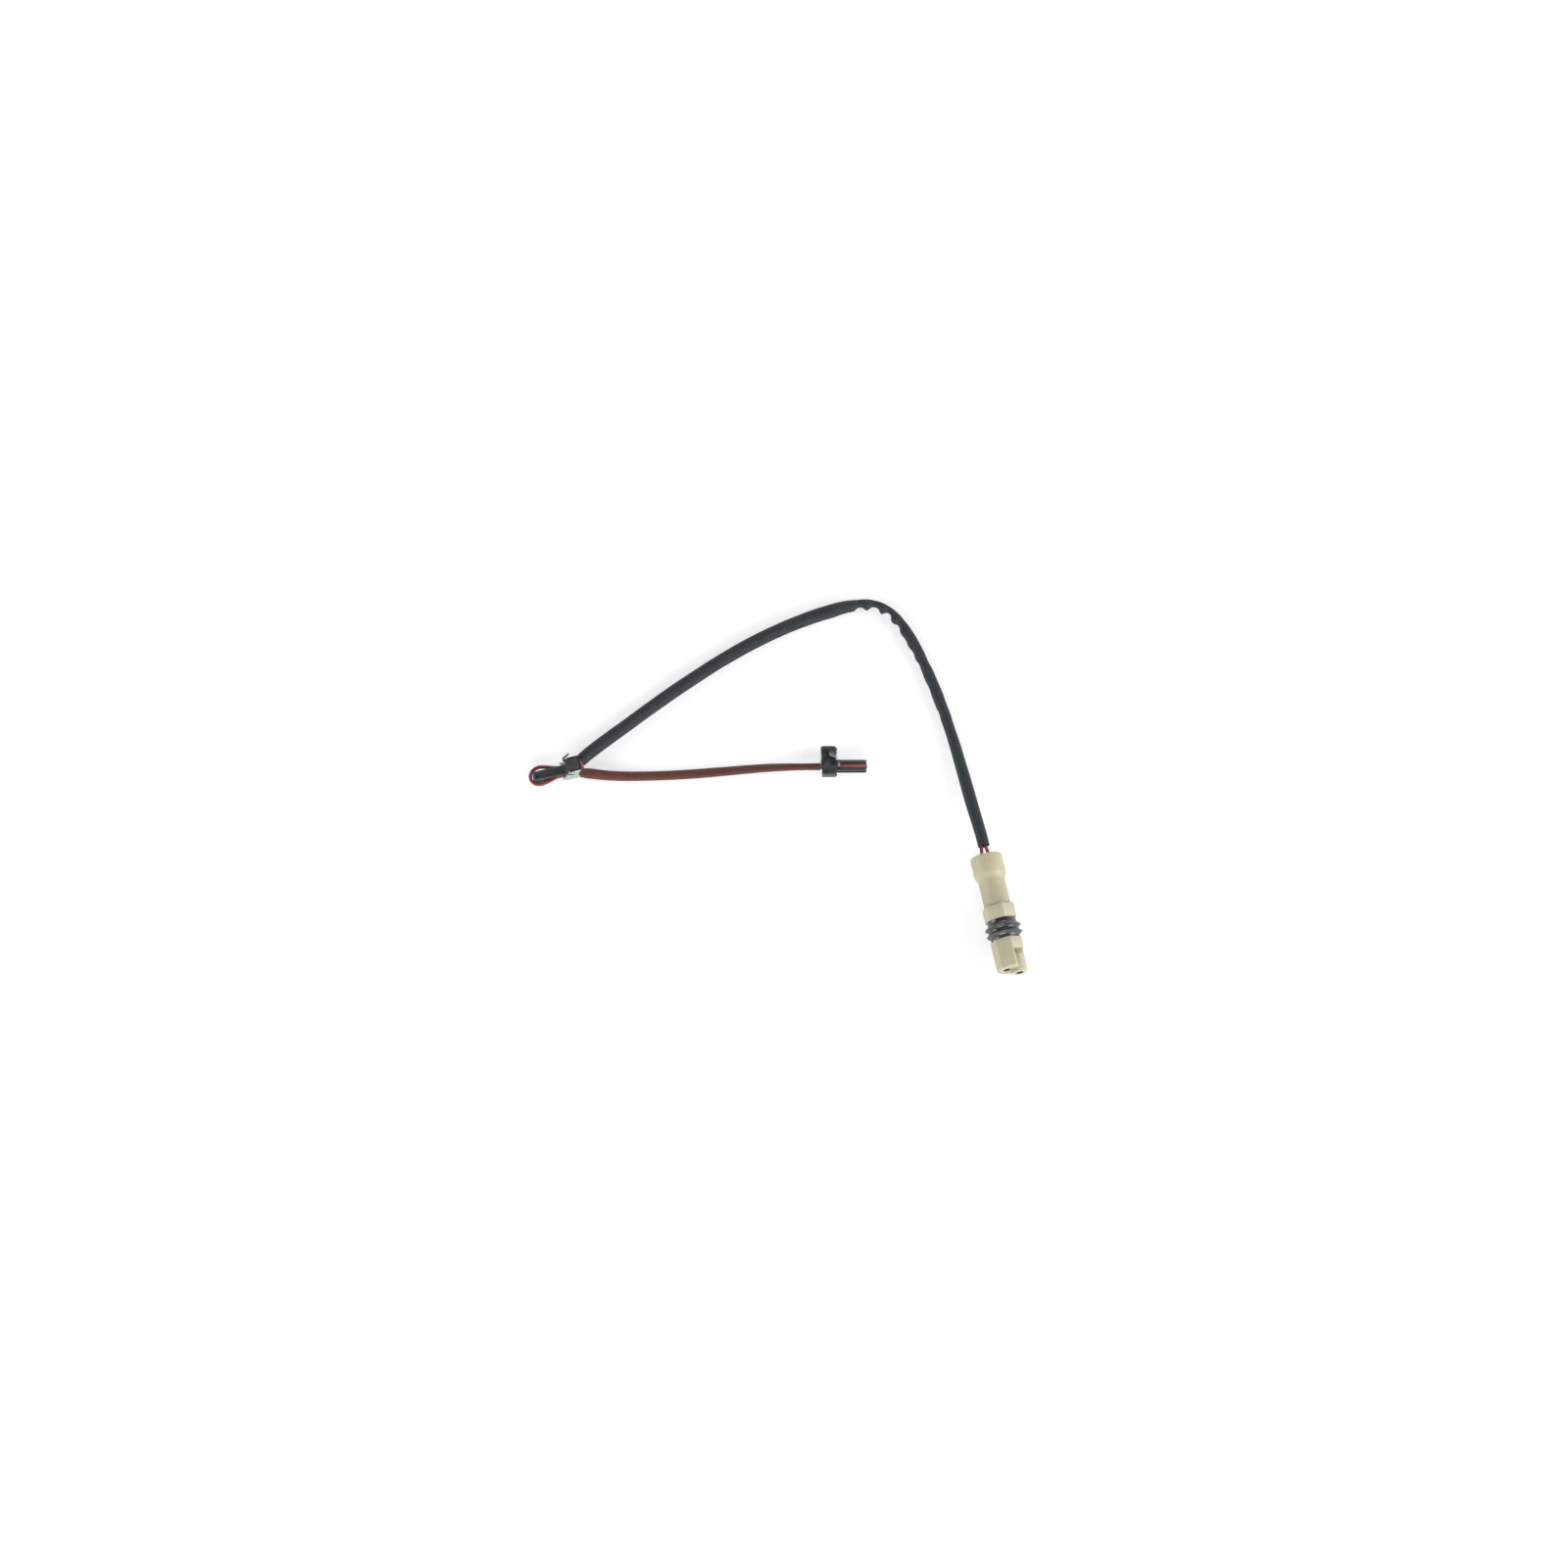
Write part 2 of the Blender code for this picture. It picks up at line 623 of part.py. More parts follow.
def hex_ring(station, corner_radius, scale=1.0):
    """A hexagon ring across the plug's axis whose corners are cut back to a circle."""
    apothem = HEX_ACROSS_FLATS / 2
    half_flat = math.degrees(math.acos(apothem / corner_radius))
    ring = []
    for side in range(6):
        corner = HEX_ROLL_DEGREES + 60 * side
        for angle in np.linspace(corner - 30 + half_flat, corner + 30 - half_flat, 4):
            turn = math.radians(angle)
            ring.append(
                (station, scale * corner_radius * math.sin(turn), scale * corner_radius * math.cos(turn))
            )
    return ring


def nose_body(name, start, end, inset):
    """A length of the nose's hexagon, set in a little, with a round front edge."""
    radius = NOSE_CORNER_RADIUS
    edge = REAR_CHAMFER / 2
    rings = [(start, edge), (start + edge, 0.0)]
    for degrees in (0, 30, 60, 90):
        turn = math.radians(degrees)
        rings.append((end - NOSE_FILLET * (1 - math.sin(turn)), NOSE_FILLET * (1 - math.cos(turn))))
    return loft(name, [hex_ring(at, radius, 1 - (inward + inset) / radius) for at, inward in rings])


def contact_centre(sign):
    """Where a contact's axis crosses the plug's cross-section, as (Y, Z)."""
    return (sign * CONTACT_OFFSET[0], sign * CONTACT_OFFSET[1])


def make_housing():
    """Plug housing: round rear barrel, neck, hex collar, seal groove and a keyed two-lobed nose."""
    housing = turned(
        "connector_housing",
        [
            (0.0, 0.0),
            (0.0, REAR_RADIUS - REAR_CHAMFER),
            (REAR_CHAMFER, REAR_RADIUS),
            (REAR_LENGTH, REAR_RADIUS),
            (NECK_START, NECK_RADIUS),
            (COLLAR_START + MM, NECK_RADIUS),
            (COLLAR_START + 2 * MM, GROOVE_RADIUS),
            (NOSE_START + MM, GROOVE_RADIUS),
            (NOSE_START + MM, 0.0),
        ],
        48,
    )
    edge = REAR_CHAMFER / 2
    collar = loft(
        "collar",
        [
            hex_ring(COLLAR_START, COLLAR_CORNER_RADIUS, 1 - edge / COLLAR_CORNER_RADIUS),
            hex_ring(COLLAR_START + edge, COLLAR_CORNER_RADIUS),
            hex_ring(GROOVE_START - edge, COLLAR_CORNER_RADIUS),
            hex_ring(GROOVE_START, COLLAR_CORNER_RADIUS, 1 - edge / COLLAR_CORNER_RADIUS),
        ],
    )
    nose = nose_body("nose", NOSE_START, NOSE_END, 0.0)
    combine(housing, [collar, nose], "UNION")

    tower_y, tower_z = contact_centre(1)
    far = NOSE_CORNER_RADIUS * 1.3
    wall_head = (tower_y * 0.66, far)
    wall_foot = (tower_y * 0.98, tower_z + TOWER_RADIUS)
    rebate = [wall_head, wall_foot]
    rebate += arc_points((tower_y, tower_z), TOWER_RADIUS, TOWER_ARC_DEGREES, 0, 10)
    rebate += [(far, tower_z), (far, far)]
    cuts = [prism("rebate", rebate, STEP_START, TOWER_END + MM, axis="X")]
    combine(housing, cuts, "DIFFERENCE")

    tower = nose_body("tower", STEP_START + MM, TOWER_END, TOWER_INSET)
    core = rod(
        "core",
        (STEP_START, tower_y, tower_z),
        (TOWER_END + MM, tower_y, tower_z),
        TOWER_RADIUS - TOWER_INSET,
        40,
    )
    combine(tower, [core], "INTERSECT")
    combine(housing, [tower], "UNION")

    bores = [rod("seal_pocket", (-MM, 0, 0), (SEAL_POCKET_DEPTH, 0, 0), SEAL_POCKET_RADIUS, 40)]
    for sign in (-1, 1):
        centre = contact_centre(sign)
        bores.append(rod("chamber", (CHAMBER_FLOOR, *centre), (TOWER_END + MM, *centre), CHAMBER_RADIUS, 28))
        way_radius = WIRE_RADIUS + WIRE_WAY_CLEARANCE
        start, end = wire_way(sign)
        bores.append(rod("wire_way", start, end, way_radius, 20))
    return combine(housing, bores, "DIFFERENCE")


def wire_way(sign):
    """The straight line of a wire from the seal pocket's floor to its contact chamber, a little overlong."""
    pocket = Vector((SEAL_POCKET_DEPTH, sign * WIRE_ENTRY_SPREAD, 0.0))
    chamber = Vector((CHAMBER_FLOOR, *contact_centre(sign)))
    ahead = (chamber - pocket).normalized() * MM / 2
    return pocket - ahead, chamber + ahead


def make_wire_seal():
    """Rubber plug with two wire holes and two ribs, seated in the housing's rear pocket."""
    outer = SEAL_POCKET_RADIUS - SEAT_GAP
    root = outer - SEAT_GAP * 2
    start = SEAL_POCKET_INSET
    end = SEAL_POCKET_DEPTH - SEAT_GAP
    span = end - start
    profile = [(start, 0.0), (start, root)]
    for rib in (0.28, 0.72):
        middle = start + rib * span
        profile += [(middle - span * 0.14, root), (middle, outer), (middle + span * 0.14, root)]
    profile += [(end, root), (end, 0.0)]
    seal = turned("wire_seal", profile, 36)
    holes = []
    for sign in (-1, 1):
        low = (-MM, sign * WIRE_ENTRY_SPREAD, 0.0)
        high = (SEAL_POCKET_DEPTH + MM, sign * WIRE_ENTRY_SPREAD, 0.0)
        holes.append(rod("wire_hole", low, high, WIRE_RADIUS + SEAT_GAP, 20))
    return combine(seal, holes, "DIFFERENCE")


def make_lip_seal():
    """Rubber ring with two pointed lips, stretched into the housing's groove."""
    inner = GROOVE_RADIUS + SEAT_GAP
    start = GROOVE_START + SEAT_GAP
    end = NOSE_START - SEAT_GAP
    first = GROOVE_START + FIRST_LIP
    second = GROOVE_START + SECOND_LIP
    middle = (first + second) / 2
    profile = [
        (start, inner),
        (start, SEAL_END_RADIUS),
        (first - LIP_HALF_WIDTH, SEAL_END_RADIUS),
        (first - LIP_FLAT, LIP_RADIUS),
        (first + LIP_FLAT, LIP_RADIUS),
        (middle - LIP_FLAT, VALLEY_RADIUS),
        (middle + LIP_FLAT, VALLEY_RADIUS),
        (second - LIP_FLAT, LIP_RADIUS),
        (second + LIP_FLAT, LIP_RADIUS),
        (second + LIP_HALF_WIDTH, SEAL_END_RADIUS),
        (end, SEAL_END_RADIUS),
        (end, inner),
    ]
    return turned("connector_seal", profile, 48)


def make_contact(name, sign):
    """Turned socket contact with a blind bore, a retaining shoulder and a crimp barrel."""
    rear = CHAMBER_FLOOR + SEAT_GAP
    front = NOSE_END - CONTACT_RECESS
    crimp_end = rear + CRIMP_LENGTH
    bore_end = front - CONTACT_BORE_DEPTH
    lead_in = (CONTACT_RADIUS - CONTACT_BORE) / 2
    profile = [
        (rear, 0.0),
        (rear, CRIMP_RADIUS),
        (crimp_end, CRIMP_RADIUS),
        (crimp_end + lead_in, CONTACT_RADIUS),
        (front - lead_in, CONTACT_RADIUS),
        (front, CONTACT_RADIUS - lead_in / 2),
        (front, CONTACT_BORE + lead_in / 2),
        (front - lead_in, CONTACT_BORE),
        (bore_end, CONTACT_BORE),
        (bore_end, 0.0),
    ]
    return turned(name, profile, 24, contact_centre(sign))


def lead_points(sign):
    """Wire route from a contact, through the wire seal, to the mouth of the black sleeve."""
    start, end = wire_way(sign)
    span = end - start
    chamber_y, chamber_z = contact_centre(sign)
    points = [Vector((CHAMBER_FLOOR, chamber_y, chamber_z))]
    points += [start + span * share for share in (0.9, 0.7, 0.5, 0.3, 0.1)]
    seal_exit = (0.0, sign * WIRE_ENTRY_SPREAD, 0.0)
    points += [Vector((SEAL_POCKET_DEPTH - 0.5 * MM, *seal_exit[1:])), Vector(seal_exit)]
    points.append(Vector((SLEEVE_MOUTH * 0.5, sign * (WIRE_ENTRY_SPREAD + WIRE_MOUTH_SPREAD) / 2, 0.0)))
    points.append(Vector((SLEEVE_MOUTH + SEAT_GAP, sign * WIRE_MOUTH_SPREAD, 0.0)))
    return [tuple(point) for point in points]


def add_frame(name, matrix):
    """An empty that carries the pieces of one head or of the plug."""
    frame = bpy.data.objects.new(name, None)
    frame.empty_display_size = 5 * MM
    frame.matrix_world = matrix
    bpy.context.scene.collection.objects.link(frame)
    return frame


def main():
    clear_scene()
    carrier_plastic = make_material("carrier_plastic", (58, 61, 64), 0.45)
    spring_steel = make_material("spring_steel", (200, 204, 202), 0.28, 1.0)
    wire_red = make_material("wire_red", (140, 45, 52), 0.40)
    sleeve_black = make_material("sleeve_black", (40, 45, 49), 0.35)
    sleeve_brown = make_material("sleeve_brown", (112, 58, 50), 0.40)
    plug_beige = make_material("plug_beige", (196, 187, 152), 0.45)
    seal_rubber = make_material("seal_rubber", (38, 42, 47), 0.40)
    wire_seal_rubber = make_material("wire_seal_rubber", (205, 170, 150), 0.55)
    tinned_brass = make_material("tinned_brass", (190, 180, 150), 0.30, 1.0)

    head_2_level = barb_reach(BARB_DEGREES["head_2"][1])
    head_frames = {
        "head_1": add_frame(
            "head_1_frame",
            Matrix.Translation((*HEAD_1_PLACE, 0.0))
            @ Matrix.Rotation(math.radians(HEAD_1_HEADING_DEGREES), 4, "Z"),
        ),
        "head_2": add_frame(
            "head_2_frame",
            Matrix.Translation((*HEAD_2_PLACE, head_2_level)) @ Matrix.Rotation(math.radians(-90), 4, "X"),
        ),
    }
    plug_frame = add_frame(
        "plug_frame",
        Matrix.Translation((*PLUG_PLACE, PLUG_HEIGHT))
        @ Matrix.Rotation(math.radians(PLUG_HEADING_DEGREES), 4, "Z"),
    )

    carrier_mesh = make_carrier_mesh()
    for head, frame in head_frames.items():
        carrier = finish_mesh(add_object(f"{head}_carrier", carrier_mesh), carrier_plastic)
        clip = finish_mesh(make_clip(f"{head}_spring_clip", *BARB_DEGREES[head]), spring_steel)
        for piece in (carrier, clip):
            piece.parent = frame
        route = evenly(smooth_route(head_wire_route(head, frame.matrix_world)), WIRE_RADIUS)
        cable(f"{head}_sensing_wire", route, WIRE_RADIUS, wire_red)
    route = evenly(smooth_route(crossover_route(head_frames["head_1"].matrix_world)), WIRE_RADIUS)
    cable("crossover_wire", route, WIRE_RADIUS, wire_red)

    plug_pieces = [
        finish_mesh(make_housing(), plug_beige),
        finish_mesh(make_lip_seal(), seal_rubber),
        finish_mesh(make_wire_seal(), wire_seal_rubber),
    ]
    for side, sign in (("left", -1), ("right", 1)):
        plug_pieces.append(finish_mesh(make_contact(f"contact_{side}", sign), tinned_brass))
        route = evenly(smooth_route(lead_points(sign), 8), 2 * WIRE_DIAMETER)
        plug_pieces.append(cable(f"lead_wire_{side}", route, WIRE_RADIUS, wire_red))
    for piece in plug_pieces:
        piece.parent = plug_frame

    for name, route, diameter, material, resolution in (
        ("black_sleeve", BLACK_ROUTE, BLACK_SLEEVE_DIAMETER, sleeve_black, 4),
        ("brown_sleeve", BROWN_ROUTE, BROWN_SLEEVE_DIAMETER, sleeve_brown, 2),
    ):
        path = smooth_route(np.array(route) * MM)
        cable(name, evenly(path, POINT_SPACING * diameter), diameter / 2, material, resolution)


main()
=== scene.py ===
# %% [markdown]
# # A brake pad wear sensor
#
# A wear sensor is a loop of thin wire held in the edge of a brake pad. When the pad is worn, the disc cuts
# the wire and a lamp lights up. This one has two sensing heads in a row on one cable and a round two-way plug.
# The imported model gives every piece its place, and this script gives the pieces their looks. Shapes are worked
# out in millimetres, and one function turns them into metres when it makes a mesh.

import math

import bmesh
import bpy
import numpy as np
from mathutils import Matrix, Vector


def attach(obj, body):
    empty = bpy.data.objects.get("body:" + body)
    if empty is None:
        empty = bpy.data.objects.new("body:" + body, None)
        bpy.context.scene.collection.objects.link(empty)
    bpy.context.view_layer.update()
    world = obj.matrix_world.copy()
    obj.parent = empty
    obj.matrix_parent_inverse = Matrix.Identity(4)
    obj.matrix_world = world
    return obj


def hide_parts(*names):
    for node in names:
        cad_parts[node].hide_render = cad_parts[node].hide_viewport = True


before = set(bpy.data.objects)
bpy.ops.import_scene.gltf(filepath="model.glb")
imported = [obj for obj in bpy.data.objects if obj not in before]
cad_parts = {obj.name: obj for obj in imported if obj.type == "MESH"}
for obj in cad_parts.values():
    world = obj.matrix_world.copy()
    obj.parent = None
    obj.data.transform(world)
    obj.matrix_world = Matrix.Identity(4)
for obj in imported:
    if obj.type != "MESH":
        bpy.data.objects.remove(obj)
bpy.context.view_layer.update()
MM = 0.001
UPWARDS = np.array([0.0, 0.0, 1.0])

# %% [markdown]
# ## The camera
#
# The sensor was laid out flat and looked at from high above its near side, 75 degrees over the surface. The
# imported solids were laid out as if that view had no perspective, so the camera stands 12 m away behind a long
# lens. From 2.5 m the far ends would be drawn half a millimetre out of place. 0.34 mm of the surface goes into
# each of the picture's 1600 columns, which sets the focal length once the distance is chosen.

# %% Camera
MM_PER_COLUMN, COLUMNS = 0.34, 1600
CAMERA_DISTANCE = 12.0
CAMERA_ELEVATION = math.radians(75)
AIM = Vector((2.2, 28.6, 0.0)) * MM

camera_data = bpy.data.cameras.new("camera")
camera_data.sensor_width = 36
camera_data.lens = camera_data.sensor_width * CAMERA_DISTANCE / (COLUMNS * MM_PER_COLUMN * MM)
camera_data.clip_end = 5 * CAMERA_DISTANCE
camera = bpy.data.objects.new("camera", camera_data)
bpy.context.scene.collection.objects.link(camera)
outward = Vector((0.0, -math.cos(CAMERA_ELEVATION), math.sin(CAMERA_ELEVATION)))
camera.location = AIM + outward * CAMERA_DISTANCE
camera.rotation_euler = (-outward).to_track_quat("-Z", "Y").to_euler()
bpy.context.scene.camera = camera
print("focal length in mm:", round(camera_data.lens, 1))

# %% [markdown]
# ## From a grid to a mesh
#
# A piece is a grid of points: one parameter runs along it and the other goes round it. Blender's own cylinders
# could be pushed about by hand, but a grid can follow a formula, and numpy works it out at once. This tool
# closes such a grid, joins its doubled points, turns its faces outwards and keeps its real edges sharp.


# %% Grid to mesh
def surface(name, grid, along=None, sharp_degrees=40):
    """A closed body from rows of rings in mm: ring j joins point j to j + 1, and each row joins the next one.

    Rows shrunk to one point close the ends. The UV map holds the distance along and the share of a turn.
    """
    rows, columns = grid.shape[:2]
    index = np.arange(rows * columns).reshape(rows, columns)
    index = np.hstack([index, index[:, :1]])
    corners = (index[:-1, :-1], index[:-1, 1:], index[1:, 1:], index[1:, :-1])
    faces = np.stack(corners, axis=-1).reshape(-1, 4)
    mesh = bpy.data.meshes.new(name)
    mesh.from_pydata((grid * MM).reshape(-1, 3).tolist(), [], faces.tolist())

    along = np.arange(rows, dtype=float) if along is None else np.asarray(along)
    around = np.arange(columns + 1) / columns
    u = np.broadcast_to(along[:, None], (rows, columns + 1))
    v = np.broadcast_to(around[None, :], (rows, columns + 1))
    pairs = np.stack([u, v], axis=-1)
    loops = np.stack([pairs[:-1, :-1], pairs[:-1, 1:], pairs[1:, 1:], pairs[1:, :-1]], axis=2)
    mesh.uv_layers.new(name="surface")
    mesh.uv_layers["surface"].uv.foreach_set("vector", loops.astype(np.float32).ravel())

    shape = bmesh.new()
    shape.from_mesh(mesh)
    bmesh.ops.remove_doubles(shape, verts=shape.verts, dist=1e-7)
    bmesh.ops.dissolve_degenerate(shape, edges=shape.edges, dist=1e-8)
    bmesh.ops.recalc_face_normals(shape, faces=shape.faces)
    shape.to_mesh(mesh)
    shape.free()
    mesh.shade_smooth()
    mesh.set_sharp_from_angle(angle=math.radians(sharp_degrees))
    piece = bpy.data.objects.new(name, mesh)
    bpy.context.scene.collection.objects.link(piece)
    return piece


def stands_for(piece, node):
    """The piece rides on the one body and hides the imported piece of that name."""
    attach(piece, "root")
    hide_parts(node)
    return piece


# %% [markdown]
# ## From a few points to a curve
#
# A cable is laid with a few chosen points. Straight lines between them would give it corners, so a cubic is
# drawn through them, which keeps its direction at every point as a real cable does. It is then read at equal
# steps, because rings that stand evenly give an even surface.

# %% Points to curve
READS_PER_SPAN = 24


def unit(vectors):
    """Vectors divided by their own lengths."""
    return vectors / np.linalg.norm(vectors, axis=-1, keepdims=True)


def distances(path):
    """Distance travelled at each point of a path."""
    return np.concatenate([[0.0], np.cumsum(np.linalg.norm(np.diff(path, axis=0), axis=1))])


def smooth_curve(points, step):
    """A Catmull-Rom curve through the points, read again at equal steps.

    Between b and c it is the cubic whose slope at b is half of c - a and at c is half of d - b.
    """
    points = np.asarray(points, float)
    ends = np.vstack([2 * points[0] - points[1], points, 2 * points[-1] - points[-2]])
    a, b, c, d = (ends[i : len(ends) - 3 + i, None, :] for i in range(4))
    t = np.linspace(0.0, 1.0, READS_PER_SPAN, endpoint=False)[None, :, None]
    cubic = 0.5 * (2 * b + (c - a) * t + (2 * a - 5 * b + 4 * c - d) * t**2 + (3 * b - a - 3 * c + d) * t**3)
    fine = np.vstack([cubic.reshape(-1, 3), points[-1:]])
    travelled = distances(fine)
    count = max(3, round(travelled[-1] / step) + 1)
    wanted = np.linspace(0.0, travelled[-1], count)
    return np.column_stack([np.interp(wanted, travelled, fine[:, i]) for i in range(3)])


# %% [markdown]
# ## Routes of the two sleeves
#
# Both sleeves are soft pipes pulled over the wires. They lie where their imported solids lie, so the routes use
# the same points: the black one leaves the first head, goes round the bend and climbs to the plug, and the
# red-brown one runs nearly straight to the second head. Only the red-brown one's first end is a millimetre
# nearer to its head than the solid's, as the picture shows.

# %% Sleeve routes
BLACK_ROUTE = [
    # x, y and z of the middle line in millimetres
    (-68.15, 36.7, 2.75), (-65.6, 39.05, 2.65), (-60.2, 43.4, 2.40), (-51.9, 49.7, 2.25), (-40.9, 58.0, 2.20),
    (-29.7, 65.9, 2.20), (-18.2, 73.5, 2.20), (-6.3, 80.3, 2.20), (6.2, 86.0, 2.20), (15.8, 89.6, 2.20),
    (22.6, 91.7, 2.20), (29.0, 92.6, 2.20), (34.2, 91.9, 2.20), (38.8, 89.9, 2.20), (42.8, 86.1, 2.20),
    (46.3, 80.4, 2.20), (49.6, 73.6, 2.20), (53.2, 65.4, 2.20), (57.0, 55.6, 2.20), (60.3, 45.6, 2.30),
    (63.1, 35.2, 2.90), (66.0, 24.8, 4.00), (68.0, 17.8, 5.00), (69.9, 10.8, 5.90), (70.8, 7.4, 6.20),
    (71.45, 4.6, 6.35),
]
BROWN_ROUTE = [
    (-67.7, 32.0, 2.83), (-66.3, 31.9, 2.70), (-64.3, 31.75, 2.50), (-59.0, 31.3, 2.00), (-52.1, 31.1, 1.65),
    (-41.9, 31.3, 1.50), (-31.7, 31.8, 1.50), (-21.6, 32.6, 1.50), (-11.4, 33.5, 1.55), (-2.9, 34.1, 1.80),
    (3.9, 34.2, 2.40), (9.7, 34.1, 3.10), (12.7, 34.0, 3.55), (14.9, 33.98, 3.68),
]
black_path, brown_path = smooth_curve(BLACK_ROUTE, 0.25), smooth_curve(BROWN_ROUTE, 0.3)
black_length, brown_length = distances(black_path)[-1], distances(brown_path)[-1]
print("black sleeve in mm:", round(black_length, 1), "red-brown sleeve in mm:", round(brown_length, 1))


# %% [markdown]
# ## A sleeve is a pipe with two open ends
#
# A sleeve's wall is drawn as one profile carried along its path: up the inside from a blind depth, round the
# cut rim, along the outside, round the other rim and back inside. A curve with a round bevel would be quicker,
# but the outside of a soft sleeve is anything but round, so its radius is asked for at every station and angle.


# %% Sleeve tool
def sleeve(name, path, radius, wall, depth, slant, columns):
    """A hollow-ended sleeve: point = path(s) + r(s, a) * (cos(a) * aside + sin(a) * above).

    aside = ahead x up points to the right of the way, and above = aside x ahead. radius(s, a) gives the outside.
    slant moves the near side of the first cut end outwards by that much. The wall's inside ends blind at depth.
    """
    travelled = distances(path)
    length = travelled[-1]
    rim = np.radians(np.linspace(0, 90, 4))
    corner = wall * 0.35
    first = np.concatenate([[depth, depth, corner], corner * (1 - np.sin(rim)), corner * (1 - np.cos(rim))])
    inset = np.concatenate([[wall, wall, wall], wall - corner * (1 - np.cos(rim)), corner * (1 - np.sin(rim))])
    shrink = np.concatenate([[0.0], np.ones(len(first) - 1)])
    middle = travelled[(travelled > corner * 1.5) & (travelled < length - corner * 1.5)]
    stations = np.concatenate([first, middle, length - first[::-1]])
    insets = np.concatenate([inset, np.zeros(len(middle)), inset[::-1]])
    shrinks = np.concatenate([shrink, np.ones(len(middle)), shrink[::-1]])

    angles = np.linspace(0.0, 2 * np.pi, columns, endpoint=False)
    s = np.repeat(stations[:, None], columns, axis=1)
    a = np.repeat(angles[None, :], len(stations), axis=0)
    r = (radius(s, a) - insets[:, None]) * shrinks[:, None]

    near = (1 + np.cos(a)) / 2
    push = -slant * near * np.exp(-s / 2) * shrinks[:, None]
    ahead = unit(np.gradient(path, travelled, axis=0))
    centre = np.stack([np.interp(s, travelled, path[:, i]) for i in range(3)], axis=-1)
    ahead = unit(np.stack([np.interp(s, travelled, ahead[:, i]) for i in range(3)], axis=-1))
    aside = unit(np.cross(ahead, UPWARDS))
    above = np.cross(aside, ahead)
    around = np.cos(a)[..., None] * aside + np.sin(a)[..., None] * above
    grid = centre + ahead * push[..., None] + r[..., None] * around
    return surface(name, grid, stations, sharp_degrees=60)


# %% [markdown]
# ## The black sleeve and its creases
#
# The sleeve is soft and its wall is thin, so on the inner side of the tight bend it folds up into creases.
# A simulation could crumple a pipe too, but nobody could say where, so each crease is written down: a dip in
# the radius, deepest on the inner side and fading over the top, with a low swell on either side of it. The two
# sides of the sleeve don't lie equally far from the route, so each has a table of its own, softened a little.
# Slow waves keep the straight stretch from looking like a drawn line.

# %% Black sleeve
CREASES = [
    # station, depth, half width, all in millimetres
    (113.0, 1.05, 1.75), (118.4, 1.85, 1.95), (123.9, 1.60, 1.75), (130.0, 0.75, 1.50), (135.6, 0.24, 1.6),
    (141.0, 0.36, 1.5), (146.0, 0.36, 1.5), (148.6, 0.18, 1.2), (155.0, 0.20, 2.0), (165.0, 0.24, 1.6),
]
CLEAR_OF_FLOOR = 0.03
crease_at, crease_depth, crease_width = np.array(CREASES).T
INNER_SIDE = [
    # station, distance from the route to the inner side without its creases
    (0, 2.30), (6, 2.46), (20, 2.50), (40, 2.54), (60, 2.56), (74, 2.62), (86, 2.52), (98, 2.62), (103, 2.78),
    (107, 2.48), (110, 2.34), (115.5, 2.08), (121, 2.02), (126.8, 2.25), (133, 2.26), (138, 2.15), (143.5, 1.90),
    (151, 1.92), (160, 1.94), (168, 1.88), (180, 1.80), (190, 1.96), (200, 2.20), (207, 2.04), (217, 1.98),
]
OUTER_SIDE = [
    # station, distance from the route to the outer side
    (0, 1.98), (6, 2.02), (30, 2.02), (46, 2.06), (62, 2.00), (74, 1.96), (86, 2.12), (98, 2.15), (102, 2.06),
    (107, 1.93), (109, 1.86), (112, 1.63), (115, 1.88), (118, 1.92), (120, 1.94), (122, 1.70), (124, 1.57),
    (127, 1.54), (129.5, 1.34), (132, 1.58), (137, 1.82), (140, 1.86), (143, 1.96), (146, 1.78), (149.5, 2.06),
    (155, 2.00), (158, 2.10), (162, 1.90), (165, 2.04), (171, 1.86), (180, 2.20), (189, 2.34), (195, 2.30),
    (201, 2.12), (217, 2.08),
]
STATION_STEP, SOFTENED_OVER = 0.25, 0.9
side_stations = np.arange(-6.0, 224.0, STATION_STEP)
softener = np.exp(-((np.arange(-12, 13) * STATION_STEP / SOFTENED_OVER) ** 2))
softener /= softener.sum()
inner_side, outer_side = (
    np.convolve(np.interp(side_stations, *zip(*table)), softener, mode="same")
    for table in (INNER_SIDE, OUTER_SIDE)
)


def black_radius(s, a):
    """Inner radius * (1 + cos(a)) / 2 + outer radius * (1 - cos(a)) / 2, less the dips, plus waves.

    A dip is depth * exp(-|(s - at) / width|^3), times ((1 + cos(a)) / 2)^1.4 for the inner side.
    The underside is held flat, just clear of the surface that the sleeve lies on.
    """
    near = (1 + np.cos(a)) / 2
    inner = np.interp(s, side_stations, inner_side)
    outer = np.interp(s, side_stations, outer_side)
    away = np.abs((s[..., None] - crease_at) / crease_width)
    dips = (crease_depth * np.exp(-(away**3))).sum(-1)
    swells = (0.16 * crease_depth * np.exp(-((away - 1.7) ** 2) * 3)).sum(-1)
    slow = np.sin(s / 7.3 + 1.2) * np.cos(2 * a + s / 19) * 0.030
    quick = np.sin(s / 1.9 + 2 * np.sin(a)) * np.cos(3 * a - s / 11) * 0.014
    radius = inner * near + outer * (1 - near) + (swells * np.abs(np.sin(a)) - dips) * near**1.4 + slow + quick
    height = np.interp(s, distances(black_path), black_path[:, 2]) - CLEAR_OF_FLOOR
    return np.minimum(radius, height / np.maximum(-np.sin(a), 0.05))


black_sleeve = sleeve("black_sleeve_look", black_path, black_radius, wall=0.55, depth=7, slant=0.75, columns=64)
stands_for(black_sleeve, "black_sleeve")
print("black sleeve faces:", len(black_sleeve.data.polygons))

